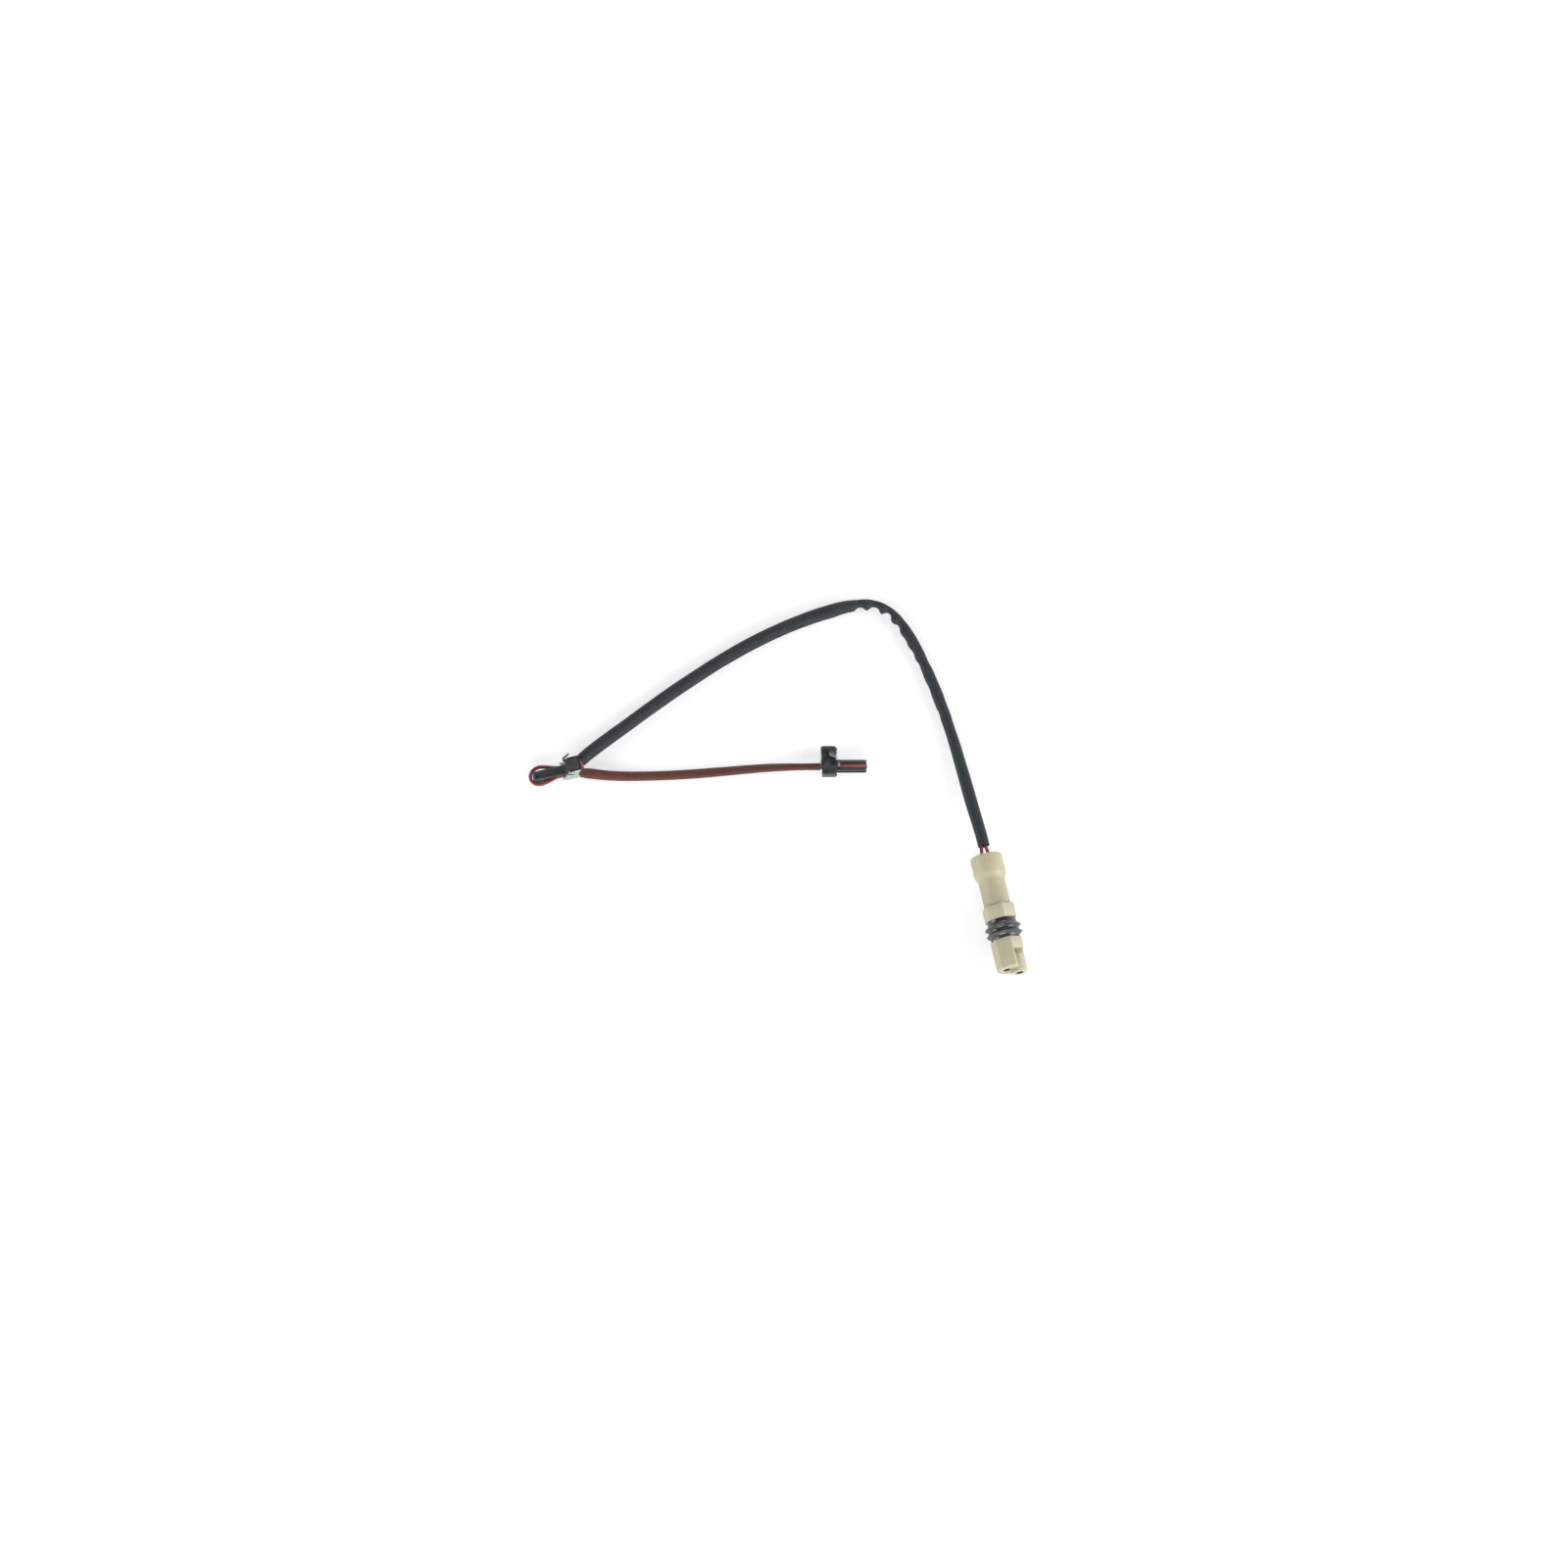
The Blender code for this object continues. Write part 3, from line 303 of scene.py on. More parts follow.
# %% [markdown]
# ## The red-brown sleeve
#
# It is drawn tight over two wires that lie side by side, so its section is an oval. The wires leave the first
# head side by side and enter the second head one above the other, so the oval makes a quarter turn on the way,
# most of it near the second head. A round pipe could be the right width at one end only.

# %% Red-brown sleeve
OVAL_LONG, OVAL_SHORT, OVAL_POWER = 1.64, 1.18, 2.4
NEARER, DRAWN_IN = 0.17, 0.17


def brown_radius(s, a):
    """A superellipse turned by 90 degrees * (s / length)^3, moved NEARER millimetres to the near side.

    Its axes swell a little towards the first end, and the very end is drawn in by the share DRAWN_IN.
    """
    turn = np.pi / 2 * np.clip(s / brown_length, 0, 1) ** 3
    short = OVAL_SHORT + 0.30 * np.exp(-s / 3.5)
    long = OVAL_LONG + 0.26 * np.exp(-s / 8)
    share = np.abs(np.cos(a - turn) / long) ** OVAL_POWER + np.abs(np.sin(a - turn) / short) ** OVAL_POWER
    waves = np.sin(s / 5.1) * np.cos(2 * a + 0.7) * 0.018
    end = 1 - DRAWN_IN * np.exp(-((s / 1.6) ** 2))
    return (share ** (-1 / OVAL_POWER) + NEARER * np.cos(a)) * end + waves


brown_sleeve = sleeve("brown_sleeve_look", brown_path, brown_radius, wall=0.32, depth=5, slant=0.8, columns=48)
stands_for(brown_sleeve, "brown_sleeve")
print("brown sleeve faces:", len(brown_sleeve.data.polygons))

# %% [markdown]
# ## Wires and frames
#
# A wire is a plain round bar carried along a path. Each head and the plug were made in a frame of their own,
# along and across the tongue or the plug, because their sizes are simple numbers there. The places below turn
# and shift such points into the row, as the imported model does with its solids.

# %% Wire tool and frames
WIRE_RADIUS = 0.625


def tube(name, path, radius, up, columns=20):
    """A round bar along a path, closed at both ends: path(s) + radius * (cos(a) * aside + sin(a) * above)."""
    travelled = distances(path)
    ahead = unit(np.gradient(path, axis=0))
    aside = unit(np.cross(ahead, np.broadcast_to(np.asarray(up, float), ahead.shape)))
    above = np.cross(aside, ahead)
    a = np.linspace(0.0, 2 * np.pi, columns, endpoint=False)[None, :, None]
    walls = path[:, None] + radius * (np.cos(a) * aside[:, None] + np.sin(a) * above[:, None])
    ends = [np.repeat(path[i][None, None], columns, axis=1) for i in (0, -1)]
    grid = np.concatenate([ends[0], walls, ends[1]])
    along = np.concatenate([travelled[:1], travelled, travelled[-1:]])
    return surface(name, grid, along, sharp_degrees=60)


PLACES = {
    "head_1": Matrix.Translation((-71.3, 33.1, 0.0)) @ Matrix.Rotation(math.radians(193.7), 4, "Z"),
    "head_2": Matrix.Translation((17.8, 30.6, 3.68)) @ Matrix.Rotation(math.radians(-90), 4, "X"),
    "plug": Matrix.Translation((72.1, 0.9, 6.35)) @ Matrix.Rotation(math.radians(-77), 4, "Z"),
}


def placed(frame_name, points):
    """Points in a head's or the plug's frame, moved to the row's frame: turn them, then shift them."""
    place = np.array(PLACES[frame_name])
    return np.asarray(points, float) @ place[:3, :3].T + place[:3, 3]


def into_sleeve(path, across, up, depth):
    """Three points of a wire in a sleeve's first end, from depth millimetres inside to just outside.

    They are points of the sleeve's middle line, moved across to its right as seen from outside, and up.
    """
    outward = unit(path[0] - path[8])
    aside = unit(np.cross(UPWARDS, outward))
    above = np.cross(outward, aside)
    inside = [path[np.searchsorted(distances(path), depth * share)] for share in (1.0, 0.4)]
    middle = np.array([*inside, path[0] + outward * 0.35])
    return middle + aside * across + above * up


print("frames:", sorted(PLACES))

# %% [markdown]
# ## Sensing wires and the cross-over wire
#
# Each sensing wire comes through one hole of its carrier's block, lies in the groove round the tongue and goes
# back through the other hole. It is this loop that the disc cuts. The first head's loop is loose and bulges out
# at its end, so it has many points, measured back from the tongue's tip. A third wire runs behind the first
# head, from the black sleeve into the red-brown one, because the second head's loop is in series with the first.

# %% Sensing wires, cross-over wire
WIRE_LEVEL = 3.38
LEG_SPREAD = 1.225
TONGUE_TIP = 13.05
BLOCK_FRONT = 2.45
HEAD_1_LOOP = [
    # millimetres behind the tongue's tip, millimetres across
    (9.05, -1.30), (6.55, -2.05), (4.05, -2.90), (1.85, -3.30), (-0.15, -2.75), (-1.45, -1.35), (-1.75, 0.30),
    (-1.05, 1.80), (0.45, 2.70), (2.55, 2.75), (5.05, 2.20), (7.25, 1.60), (9.05, 1.30),
]
HEAD_2_LOOP = [
    (9.05, -1.25), (6.05, -1.40), (3.05, -1.58), (1.35, -1.35), (0.45, -0.65), (0.30, 0.0), (0.45, 0.65),
    (1.35, 1.35), (3.05, 1.58), (6.05, 1.40), (9.05, 1.25),
]


def loop_way(loop, lean=0.0):
    """Through one hole, round the tongue and back through the other hole, in a head's frame.

    Round the tongue the wire lies lean millimetres off the middle of the groove.
    """
    legs = [(-2.45, -LEG_SPREAD), (-0.9, -LEG_SPREAD), (0.9, -LEG_SPREAD), (3.0, -LEG_SPREAD)]
    way = legs + [(TONGUE_TIP - behind, across) for behind, across in loop]
    way += [(along, -across) for along, across in reversed(legs)]
    return np.array([(along, across, WIRE_LEVEL + lean * (along > BLOCK_FRONT)) for along, across in way])


head_1_way = np.vstack(
    [
        into_sleeve(black_path, 0.90, -0.50, 5),
        placed("head_1", [(-3.20, -1.35, 2.65), (-2.80, -1.21, 3.20)]),
        placed("head_1", loop_way(HEAD_1_LOOP)),
        placed("head_1", [(-2.85, 1.27, 3.15), (-3.35, 1.60, 2.50)]),
        into_sleeve(brown_path, 0.63, -0.10, 3)[::-1],
    ]
)
BEHIND_HEAD_1 = [(-2.80, -2.85, 3.70), (-3.25, -2.05, 4.05), (-3.50, -1.20, 4.05), (-3.58, -0.25, 3.80)]
BEHIND_HEAD_1 += [(-3.52, 0.65, 3.35)]
AWAY = np.array([0.0, 1.0, 0.0])
sunk = placed("head_2", [(-3.6, -0.75, 3.38), (-3.6, 0.75, 3.38)])
head_2_way = np.vstack([sunk[:1], placed("head_2", loop_way(HEAD_2_LOOP, lean=-0.17)), sunk[1:]])
crossover_way = np.vstack(
    [
        into_sleeve(black_path, -0.92, 0.45, 5),
        placed("head_1", BEHIND_HEAD_1),
        into_sleeve(brown_path, -0.63, 0.10, 3)[1::-1],
    ]
)
wires = []
for name, way, up in (
    ("head_1_sensing_wire", head_1_way, UPWARDS),
    ("head_2_sensing_wire", head_2_way, AWAY),
    ("crossover_wire", crossover_way, UPWARDS),
):
    wire = tube(f"{name}_look", smooth_curve(way, 0.22), WIRE_RADIUS, up)
    wires.append(stands_for(wire, name))
print("wires:", [wire.name for wire in wires])

# %% [markdown]
# ## The plug
#
# The housing is one moulding with a round rear barrel, a neck, a hexagon to grip, a groove for the seal and a
# keyed nose. It could be joined from bars and blocks, but then every edge would need its own rounding. Seen
# from its axis, every ray leaves the material only once, so its whole outside is a radius for each station and
# each angle. Limits such as a hexagon, a circle or a wall meet in a soft minimum, which rounds the edge.

# %% Plug frame and radius limits
AROUND = np.linspace(0.0, 2 * np.pi, 288, endpoint=False)
HEX_HALF, HEX_ROLL = 5.0, math.radians(13.8)
SOCKET = (2.5 * math.cos(math.radians(30)), -1.25)
TOWER_RADIUS, CHAMBER_RADIUS = 3.0, 1.42
FAR_AWAY = 1000.0


def soft_least(limits, edge):
    """The least of several limits with its corners rounded over an edge: -edge * log(sum(exp(-limit / edge)))."""
    stack = np.stack(limits)
    least = stack.min(0)
    return least - edge * np.log(np.exp(-(stack - least) / edge).sum(0))


def hexagon(angle):
    """Distance to a hexagon's side along a ray: half the size across flats / cos(angle from the flat's middle)."""
    from_flat = np.mod(angle - HEX_ROLL, np.pi / 3) - np.pi / 6
    return HEX_HALF / np.cos(from_flat)


def circle_beside(angle, centre, radius):
    """Distance along a ray to a circle that holds the axis: c.d + sqrt((c.d)^2 + radius^2 - c.c)."""
    toward = centre[0] * np.sin(angle) + centre[1] * np.cos(angle)
    return toward + np.sqrt(toward**2 + radius**2 - centre[0] ** 2 - centre[1] ** 2)


def straight_wall(angle, start, end):
    """Distance along a ray to a straight wall, and far away where the ray never meets it."""
    along = (end[0] - start[0], end[1] - start[1])
    across = np.sin(angle) * along[1] - np.cos(angle) * along[0]
    reach = (start[0] * along[1] - start[1] * along[0]) / np.where(np.abs(across) < 1e-12, 1e-12, across)
    return np.where(reach > 0, reach, FAR_AWAY)


print("right socket at:", [round(x, 2) for x in SOCKET])


# %% [markdown]
# Angles are counted from the top towards the plug's right side. The nose's section joins two shapes that both
# hold the axis: the hexagon up to the slanting wall of the rebate, and the round tower about the right socket.

# %% Housing sections
EDGE = 0.10
TOWER_FROM = math.radians(103.6)
collar_section = soft_least([hexagon(AROUND), np.full_like(AROUND, 5.74)], EDGE) + EDGE * 0.35
nose_section = soft_least([hexagon(AROUND), np.full_like(AROUND, 5.58)], EDGE) + EDGE * 0.35
wall = straight_wall(AROUND, (SOCKET[0] * 0.98, SOCKET[1] + TOWER_RADIUS), (SOCKET[0] * 0.66, 7.2))
tower = soft_least([circle_beside(AROUND, SOCKET, TOWER_RADIUS), nose_section], EDGE / 2)
lobes_section = np.maximum(soft_least([nose_section, wall], EDGE), tower)
lobes_section = np.where(AROUND > TOWER_FROM, nose_section, lobes_section)
tower_limits = [circle_beside(AROUND, SOCKET, TOWER_RADIUS - 0.06), nose_section - 0.04]
tower_section = soft_least(tower_limits, EDGE / 2)
print("across the collar's corners in mm:", round(2 * collar_section.max(), 2))

# %% [markdown]
# Each row is a station along the plug and the radius there, either one number or one for every angle. The rows
# run from the middle of the wire end to the middle of the nose. The slanting wall is cut in under the step.
# The tower about the right socket stands a little proud of the nose's face, so its rows come last.

# %% Housing rows
COLLAR_REAR, COLLAR_FRONT, NOSE_START, STEP, NOSE_END, TOWER_END = 18.30, 23.60, 30.80, 35.00, 41.60, 42.90
NOSE_ROUNDING = 0.7
rebate = np.clip((nose_section - lobes_section) / 0.5 - 0.4, 0.0, 1.0)
step_edge = [np.minimum(nose_section, np.maximum(lobes_section, nose_section - inset)) for inset in (0.05, 0.20)]
turns = np.radians([0, 20, 40, 60, 75, 90])
nose_round = [(NOSE_END - NOSE_ROUNDING * (1 - np.sin(t)), NOSE_ROUNDING * (1 - np.cos(t))) for t in turns]
housing_rows = [
    (0.0, 0.0),
    (0.0, 5.15),
    (0.06, 5.30),
    (0.40, 5.55),
    (0.60, 5.60),
    (6.70, 5.60),
    (6.95, 5.56),
    (7.15, 5.48),
    (8.80, 4.74),
    (9.10, 4.68),
    (COLLAR_REAR - 0.30, 4.67),
    (COLLAR_REAR - 0.06, 4.72),
    (COLLAR_REAR, 4.84),
    (COLLAR_REAR, collar_section - 0.50),
    (COLLAR_REAR + 0.10, collar_section - 0.42),
    (COLLAR_REAR + 0.45, collar_section - 0.06),
    (COLLAR_REAR + 0.60, collar_section),
    (COLLAR_FRONT - 0.22, collar_section),
    (COLLAR_FRONT - 0.07, collar_section - 0.06),
    (COLLAR_FRONT, collar_section - 0.22),
    (COLLAR_FRONT, 4.10),
    (NOSE_START, 4.10),
    (NOSE_START, nose_section - 0.22),
    (NOSE_START + 0.07, nose_section - 0.06),
    (NOSE_START + 0.22, nose_section),
    (STEP - 0.22, nose_section),
    (STEP - 0.05, step_edge[0]),
    (STEP, step_edge[1]),
    (STEP, lobes_section - 0.95 * rebate),
    (STEP + 0.90, lobes_section - 0.80 * rebate),
    (STEP + 1.30, lobes_section - 0.12 * rebate),
    (STEP + 1.45, lobes_section),
]
housing_rows += [(at, np.maximum(lobes_section - inward, tower_section)) for at, inward in nose_round]
housing_rows += [
    (NOSE_END, tower_section),
    (TOWER_END - 0.20, tower_section),
    (TOWER_END - 0.06, tower_section - 0.06),
    (TOWER_END, tower_section - 0.22),
    (TOWER_END, tower_section * 0.01),
    (TOWER_END, 0.0),
]


def radial(name, rows, angles, centre=(0.0, 0.0), sharp_degrees=30):
    """A body about a line along the plug: (station, centre + r * sin(angle), centre + r * cos(angle))."""
    stations = np.array([at for at, _ in rows])
    radii = np.stack([np.broadcast_to(r, angles.shape) for _, r in rows])
    across = centre[0] + radii * np.sin(angles)
    up = centre[1] + radii * np.cos(angles)
    grid = np.stack([np.broadcast_to(stations[:, None], radii.shape), across, up], axis=-1)
    return surface(name, placed("plug", grid), stations, sharp_degrees)


housing = radial("housing_look", housing_rows, AROUND)
print("housing in rows:", len(housing_rows), "faces:", len(housing.data.polygons))

# %% [markdown]
# ## Holes in the plug
#
# The rear pocket takes the wire seal, and each wire has a way through to a chamber that opens in the nose. The
# holes lie inside the radius, so they are cut: round bars are taken away with Booleans, and the result is kept
# as the mesh. The Manifold solver is used, because every body here is closed and it then leaves no gaps. Each
# bar starts and ends inside a hole or in the open, because two faces in one plane confuse any solver.


# %% Holes
def drilled(piece, tools):
    """Cut the tools out of a piece, keep the result as its mesh and throw the tools away."""
    for tool in tools:
        cut = piece.modifiers.new(tool.name, "BOOLEAN")
        cut.operation = "DIFFERENCE"
        cut.solver = "MANIFOLD"
        cut.object = tool
    bpy.context.view_layer.update()
    evaluated = piece.evaluated_get(bpy.context.evaluated_depsgraph_get())
    result = bpy.data.meshes.new_from_object(evaluated)
    piece.modifiers.clear()
    piece.data = result
    for tool in tools:
        bpy.data.objects.remove(tool, do_unlink=True)
    piece.data.set_sharp_from_angle(angle=math.radians(30))
    return piece


def drill(name, start, end, radius):
    """A round bar between two points of the plug's frame, to cut a hole with."""
    return tube(name, placed("plug", np.linspace(start, end, 3)), radius, UPWARDS, columns=40)


POCKET_FLOOR, CHAMBER_FLOOR = 6.0, 23.9
LEAD_ASIDE = 1.2
holes = [drill("pocket", (-1, 0, 0), (POCKET_FLOOR, 0, 0), 4.2)]
for sign in (-1, 1):
    centre = (sign * SOCKET[0], sign * SOCKET[1])
    in_pocket = np.array([POCKET_FLOOR, sign * LEAD_ASIDE, 0.0])
    in_chamber = np.array([CHAMBER_FLOOR + 0.3, *centre])
    holes.append(drill("chamber", (CHAMBER_FLOOR, *centre), (TOWER_END + 1.1, *centre), CHAMBER_RADIUS))
    holes.append(drill("wire_way", in_pocket - 0.03 * (in_chamber - in_pocket), in_chamber, 0.82))
stands_for(drilled(housing, holes), "connector_housing")
print("housing faces with its holes:", len(housing.data.polygons))

# %% [markdown]
# ## The lip seal
#
# The black seal is a rubber ring with two lips that are pressed flat when the plug goes home. It could be two
# discs on a tube, but it is moulded in one, with round tips and a round valley. So its profile is a sum of
# smooth peaks, turned about the plug's axis.

# %% Lip seal
seal_angles = np.linspace(0.0, 2 * np.pi, 160, endpoint=False)


def lip_profile(station):
    """Outer radius: a floor, plus two peaks height * exp(-|x / width|^1.35), and a slightly raised middle."""
    first, second = 26.3, 28.8  # stations of the two lips
    peaks = sum(1.28 * np.exp(-np.abs((station - at) / 0.66) ** 1.35) for at in (first, second))
    valley = 0.12 * np.exp(-(((station - (first + second) / 2) / 0.8) ** 2))
    return 5.05 + peaks + valley


SEAL_REAR, SEAL_FRONT, SEAL_BORE = 23.75, 30.65, 4.25
seal_rows = [(at, lip_profile(at)) for at in np.linspace(SEAL_REAR, SEAL_FRONT, 110)]
seal_rows += [(SEAL_FRONT, SEAL_BORE), (SEAL_REAR, SEAL_BORE), seal_rows[0]]
lip_seal = stands_for(radial("lip_seal_look", seal_rows, seal_angles), "connector_seal")
print("lip seal faces:", len(lip_seal.data.polygons))

# %% [markdown]
# ## The wire seal
#
# A soft rubber plug fills the rear pocket and keeps water out. Ribs round it press on the pocket, and two holes
# let the wires through. Only its back face is seen, but from behind it is what closes the plug, so it is a
# turned body with ribs and real holes, not a flat disc.

# %% Wire seal
few_angles = np.linspace(0.0, 2 * np.pi, 72, endpoint=False)
WIRE_SEAL_REAR, WIRE_SEAL_FRONT, RIB_PITCH = 0.5, 5.85, 1.783
seal_reach = np.linspace(WIRE_SEAL_REAR, WIRE_SEAL_FRONT, 60)
rib_shape = 3.75 + 0.29 * np.abs(np.sin(np.pi * (seal_reach - WIRE_SEAL_REAR) / RIB_PITCH)) ** 0.8
rib_shape[[0, -1]] = 3.6
wire_seal_rows = [(WIRE_SEAL_REAR, 0.0), *zip(seal_reach, rib_shape), (WIRE_SEAL_FRONT, 0.0)]
wire_seal = radial("wire_seal_look", wire_seal_rows, few_angles)
holes = [
    drill("hole", (-1, sign * LEAD_ASIDE, 0), (7, sign * LEAD_ASIDE, 0), WIRE_RADIUS + 0.06)
    for sign in (-1, 1)
]
stands_for(drilled(wire_seal, holes), "wire_seal")
print("wire seal faces:", len(wire_seal.data.polygons))

# %% [markdown]
# ## Contacts and leads
#
# In each chamber sits a socket contact, a turned sleeve of tinned brass with a bore. Its colour is painted shade:
# it is dark, so that the holes look deep in shadow. Its front is level with the mouth of its hole, because the
# picture shows two dark rings there. The leads come out of the contacts, through the wire seal, and go into the
# black sleeve side by side.

# %% Contacts and leads
SLEEVE_MOUTH = -3.76
contacts = []
for side, sign in (("left", -1), ("right", 1)):
    centre = (sign * SOCKET[0], sign * SOCKET[1])
    mouth = NOSE_END if side == "left" else TOWER_END
    profile = [
        # station, radius: the blind end, the outside, the mouth and the bore
        (24.05, 0.0), (24.05, 0.78), (24.15, 0.85), (28.0, 0.85), (28.2, 1.10), (38.0, 1.10), (38.4, 1.36),
        (mouth - 0.12, 1.36), (mouth - 0.04, 1.32), (mouth - 0.04, 1.24), (mouth - 0.30, 1.14), (38.2, 1.05),
        (37.8, 0.75), (31.7, 0.75), (31.7, 0.0),
    ]
    contact = radial(f"contact_{side}_look", profile, few_angles, centre)
    contacts.append(stands_for(contact, f"contact_{side}"))

    start = np.array([POCKET_FLOOR, sign * LEAD_ASIDE, 0.0])
    end = np.array([CHAMBER_FLOOR, *centre])
    way = [start * share + end * (1 - share) for share in (0.0, 0.15, 0.5, 0.85)]
    way += [(at, sign * LEAD_ASIDE, 0.0) for at in (5.3, 2.5, 0.0)]
    way += [(-1.9, sign * 1.0, 0.0), (SLEEVE_MOUTH, sign * 0.76, 0.0), (-6.2, sign * 0.68, 0.0)]
    way += [(-8.8, sign * 0.67, -0.1)]
    lead = tube(f"lead_wire_{side}_look", placed("plug", smooth_curve(way, 0.4)), WIRE_RADIUS, UPWARDS)
    wires.append(stands_for(lead, f"lead_wire_{side}"))
print("contacts:", [contact.name for contact in contacts], "and wires:", len(wires))

# %% [markdown]
# ## Carriers and spring clips
#
# Each head has a moulded carrier and a folded clip of spring steel. The imported ones have the right shape, but
# their edges are knife-sharp, and no moulded or folded piece has such edges. Modelling them again would risk
# their fit, so each is copied, its loose triangles are joined, and a small bevel rounds every edge until it
# catches a thin line of light. A carrier also gets the web that closes the back of its tab, and the tops of its
# tongue's rims are marked, because their colour is painted paler there, partly as wear and partly as painted
# highlight.


# %% Rounded copies
RIM_TOP, TONGUE_ROOT, TONGUE_MIDDLE = 5.26, 2.6, 8.0
TIP_FORWARD = {"head_1": 0.85, "head_2": 0.0}
WEB = ((-2.52, -1.7, 4.25), (-2.0, 1.7, 9.3))


def rounded_copy(node, width, segments, head=None):
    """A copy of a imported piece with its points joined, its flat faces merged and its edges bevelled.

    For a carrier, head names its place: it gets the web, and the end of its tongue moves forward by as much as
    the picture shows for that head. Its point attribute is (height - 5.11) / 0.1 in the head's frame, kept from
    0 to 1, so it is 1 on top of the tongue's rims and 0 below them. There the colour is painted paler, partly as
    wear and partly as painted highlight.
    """
    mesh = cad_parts[node].data.copy()
    mesh.name = f"{node}_look"
    shape = bmesh.new()
    shape.from_mesh(mesh)
    bmesh.ops.remove_doubles(shape, verts=shape.verts, dist=2e-6)
    bmesh.ops.dissolve_limit(shape, angle_limit=math.radians(1.0), verts=shape.verts, edges=shape.edges)
    if head:
        low, high = np.array(WEB)
        box = Matrix.Translation(tuple((low + high) / 2)) @ Matrix.Diagonal((*(high - low), 1.0))
        bmesh.ops.create_cube(shape, size=1.0, matrix=Matrix.Scale(MM, 4) @ PLACES[head] @ box)
    bmesh.ops.recalc_face_normals(shape, faces=shape.faces)
    shape.to_mesh(mesh)
    shape.free()
    if head:
        points = np.empty(len(mesh.vertices) * 3, np.float32)
        mesh.vertices.foreach_get("co", points)
        place = np.array(PLACES[head])
        local = (points.reshape(-1, 3) / MM - place[:3, 3]) @ place[:3, :3]
        local[:, 0] += TIP_FORWARD[head] * (local[:, 0] > TONGUE_MIDDLE)
        mesh.vertices.foreach_set("co", (placed(head, local) * MM).astype(np.float32).ravel())
        # Where the rim tops get their colour painted paler: partly edge wear, partly painted highlight.
        on_rim = np.clip((local[:, 2] - RIM_TOP + 0.15) / 0.1, 0, 1) * (local[:, 0] > TONGUE_ROOT)
        wear_and_highlight_share = mesh.attributes.new("edge_wear_and_painted_light", "FLOAT", "POINT")
        wear_and_highlight_share.data.foreach_set("value", on_rim.astype(np.float32))
    mesh.materials.clear()
    piece = bpy.data.objects.new(f"{node}_look", mesh)
    bpy.context.scene.collection.objects.link(piece)
    bevel = piece.modifiers.new("rounded edges", "BEVEL")
    bevel.width = width * MM
    bevel.segments = segments
    bevel.limit_method = "ANGLE"
    bevel.angle_limit = math.radians(35)
    bevel.harden_normals = True
    mesh.shade_smooth()
    return stands_for(piece, node)


carriers = [rounded_copy(f"{head}_carrier", 0.10, 3, head) for head in TIP_FORWARD]
clips = [rounded_copy(f"{head}_spring_clip", 0.05, 2) for head in TIP_FORWARD]
print("rounded:", [piece.name for piece in carriers + clips])

# %% [markdown]
# ## Node trees
#
# A finish is a tree of nodes. Nodes could be placed and linked one line at a time, but most of them are the
# same few kinds, so a small helper adds a node and joins its sockets in one call.

# %% Node tree helper


class Tree:
    """A node tree under construction. A value for a socket is another socket, a number or a row of numbers."""

    def __init__(self, tree):
        self.tree = tree

    def join(self, source, target):
        """Link a socket to a socket, or write a plain value into it."""
        if isinstance(source, bpy.types.NodeSocket):
            self.tree.links.new(source, target)
        else:
            target.default_value = source

    def add(self, kind, settings=(), **values):
        """One node with its settings and its inputs, where an underscore stands for a space. Gives its outputs."""
        node = self.tree.nodes.new(f"ShaderNode{kind}")
        for label, value in settings:
            setattr(node, label, value)
        for label, value in values.items():
            self.join(value, node.inputs[label.replace("_", " ")])
        return node.outputs

    def maths(self, operation, *values):
        """One Math node on up to three values."""
        node = self.tree.nodes.new("ShaderNodeMath")
        node.operation = operation
        for value, socket in zip(values, node.inputs):
            self.join(value, socket)
        return node.outputs[0]

    def noise(self, place, scale, detail):
        """One Noise node read at a place."""
        return self.add("TexNoise", Vector=place, Scale=scale, Detail=detail)["Fac"]

    def stretch(self, value, low, high, to_low=0.0, to_high=1.0):
        """One Map Range node: low to high becomes to_low to to_high, and nothing goes past them."""
        return self.add("MapRange", Value=value, From_Min=low, From_Max=high, To_Min=to_low, To_Max=to_high)[0]

    def vector(self, x, y, z):
        """Three values as one vector."""
        return self.add("CombineXYZ", X=x, Y=y, Z=z)[0]

    def effect(self, group, place, **values):
        """One of the shared groups, joined to its place and given its numbers. Gives its outputs."""
        node = self.tree.nodes.new("ShaderNodeGroup")
        node.node_tree = group
        self.join(place, node.inputs[0])
        for label, value in values.items():
            self.join(value, node.inputs[label.replace("_", " ")])
        return node.outputs

    def laid_over(self, under, over, mask, strength):
        """The colour under, with the colour over on it where the mask says, at most at that strength."""
        node = self.tree.nodes.new("ShaderNodeMix")
        node.data_type = "RGBA"
        self.join(self.maths("MULTIPLY", mask, strength), node.inputs["Factor"])
        for colour, label in ((under, "A"), (over, "B")):
            self.join(to_linear(colour) if isinstance(colour, tuple) else colour, node.inputs[label])
        return node.outputs["Result"]


def to_linear(colour):
    """sRGB numbers from 0 to 255 as linear light, with an alpha of 1."""
    share = np.array(colour, float) / 255
    return (*np.where(share <= 0.04045, share / 12.92, ((share + 0.055) / 1.055) ** 2.4), 1.0)


def effect_group(name, place, numbers, outputs):
    """A new shader group with a vector input, number inputs and number outputs: its tree, inputs and outputs."""
    group = bpy.data.node_groups.new(name, "ShaderNodeTree")
    group.interface.new_socket(place, in_out="INPUT", socket_type="NodeSocketVector")
    for label, value in numbers:
        socket = group.interface.new_socket(label, in_out="INPUT", socket_type="NodeSocketFloat")
        socket.default_value = value
    for label in outputs:
        group.interface.new_socket(label, in_out="OUTPUT", socket_type="NodeSocketFloat")
    return Tree(group), group.nodes.new("NodeGroupInput").outputs, group.nodes.new("NodeGroupOutput").inputs
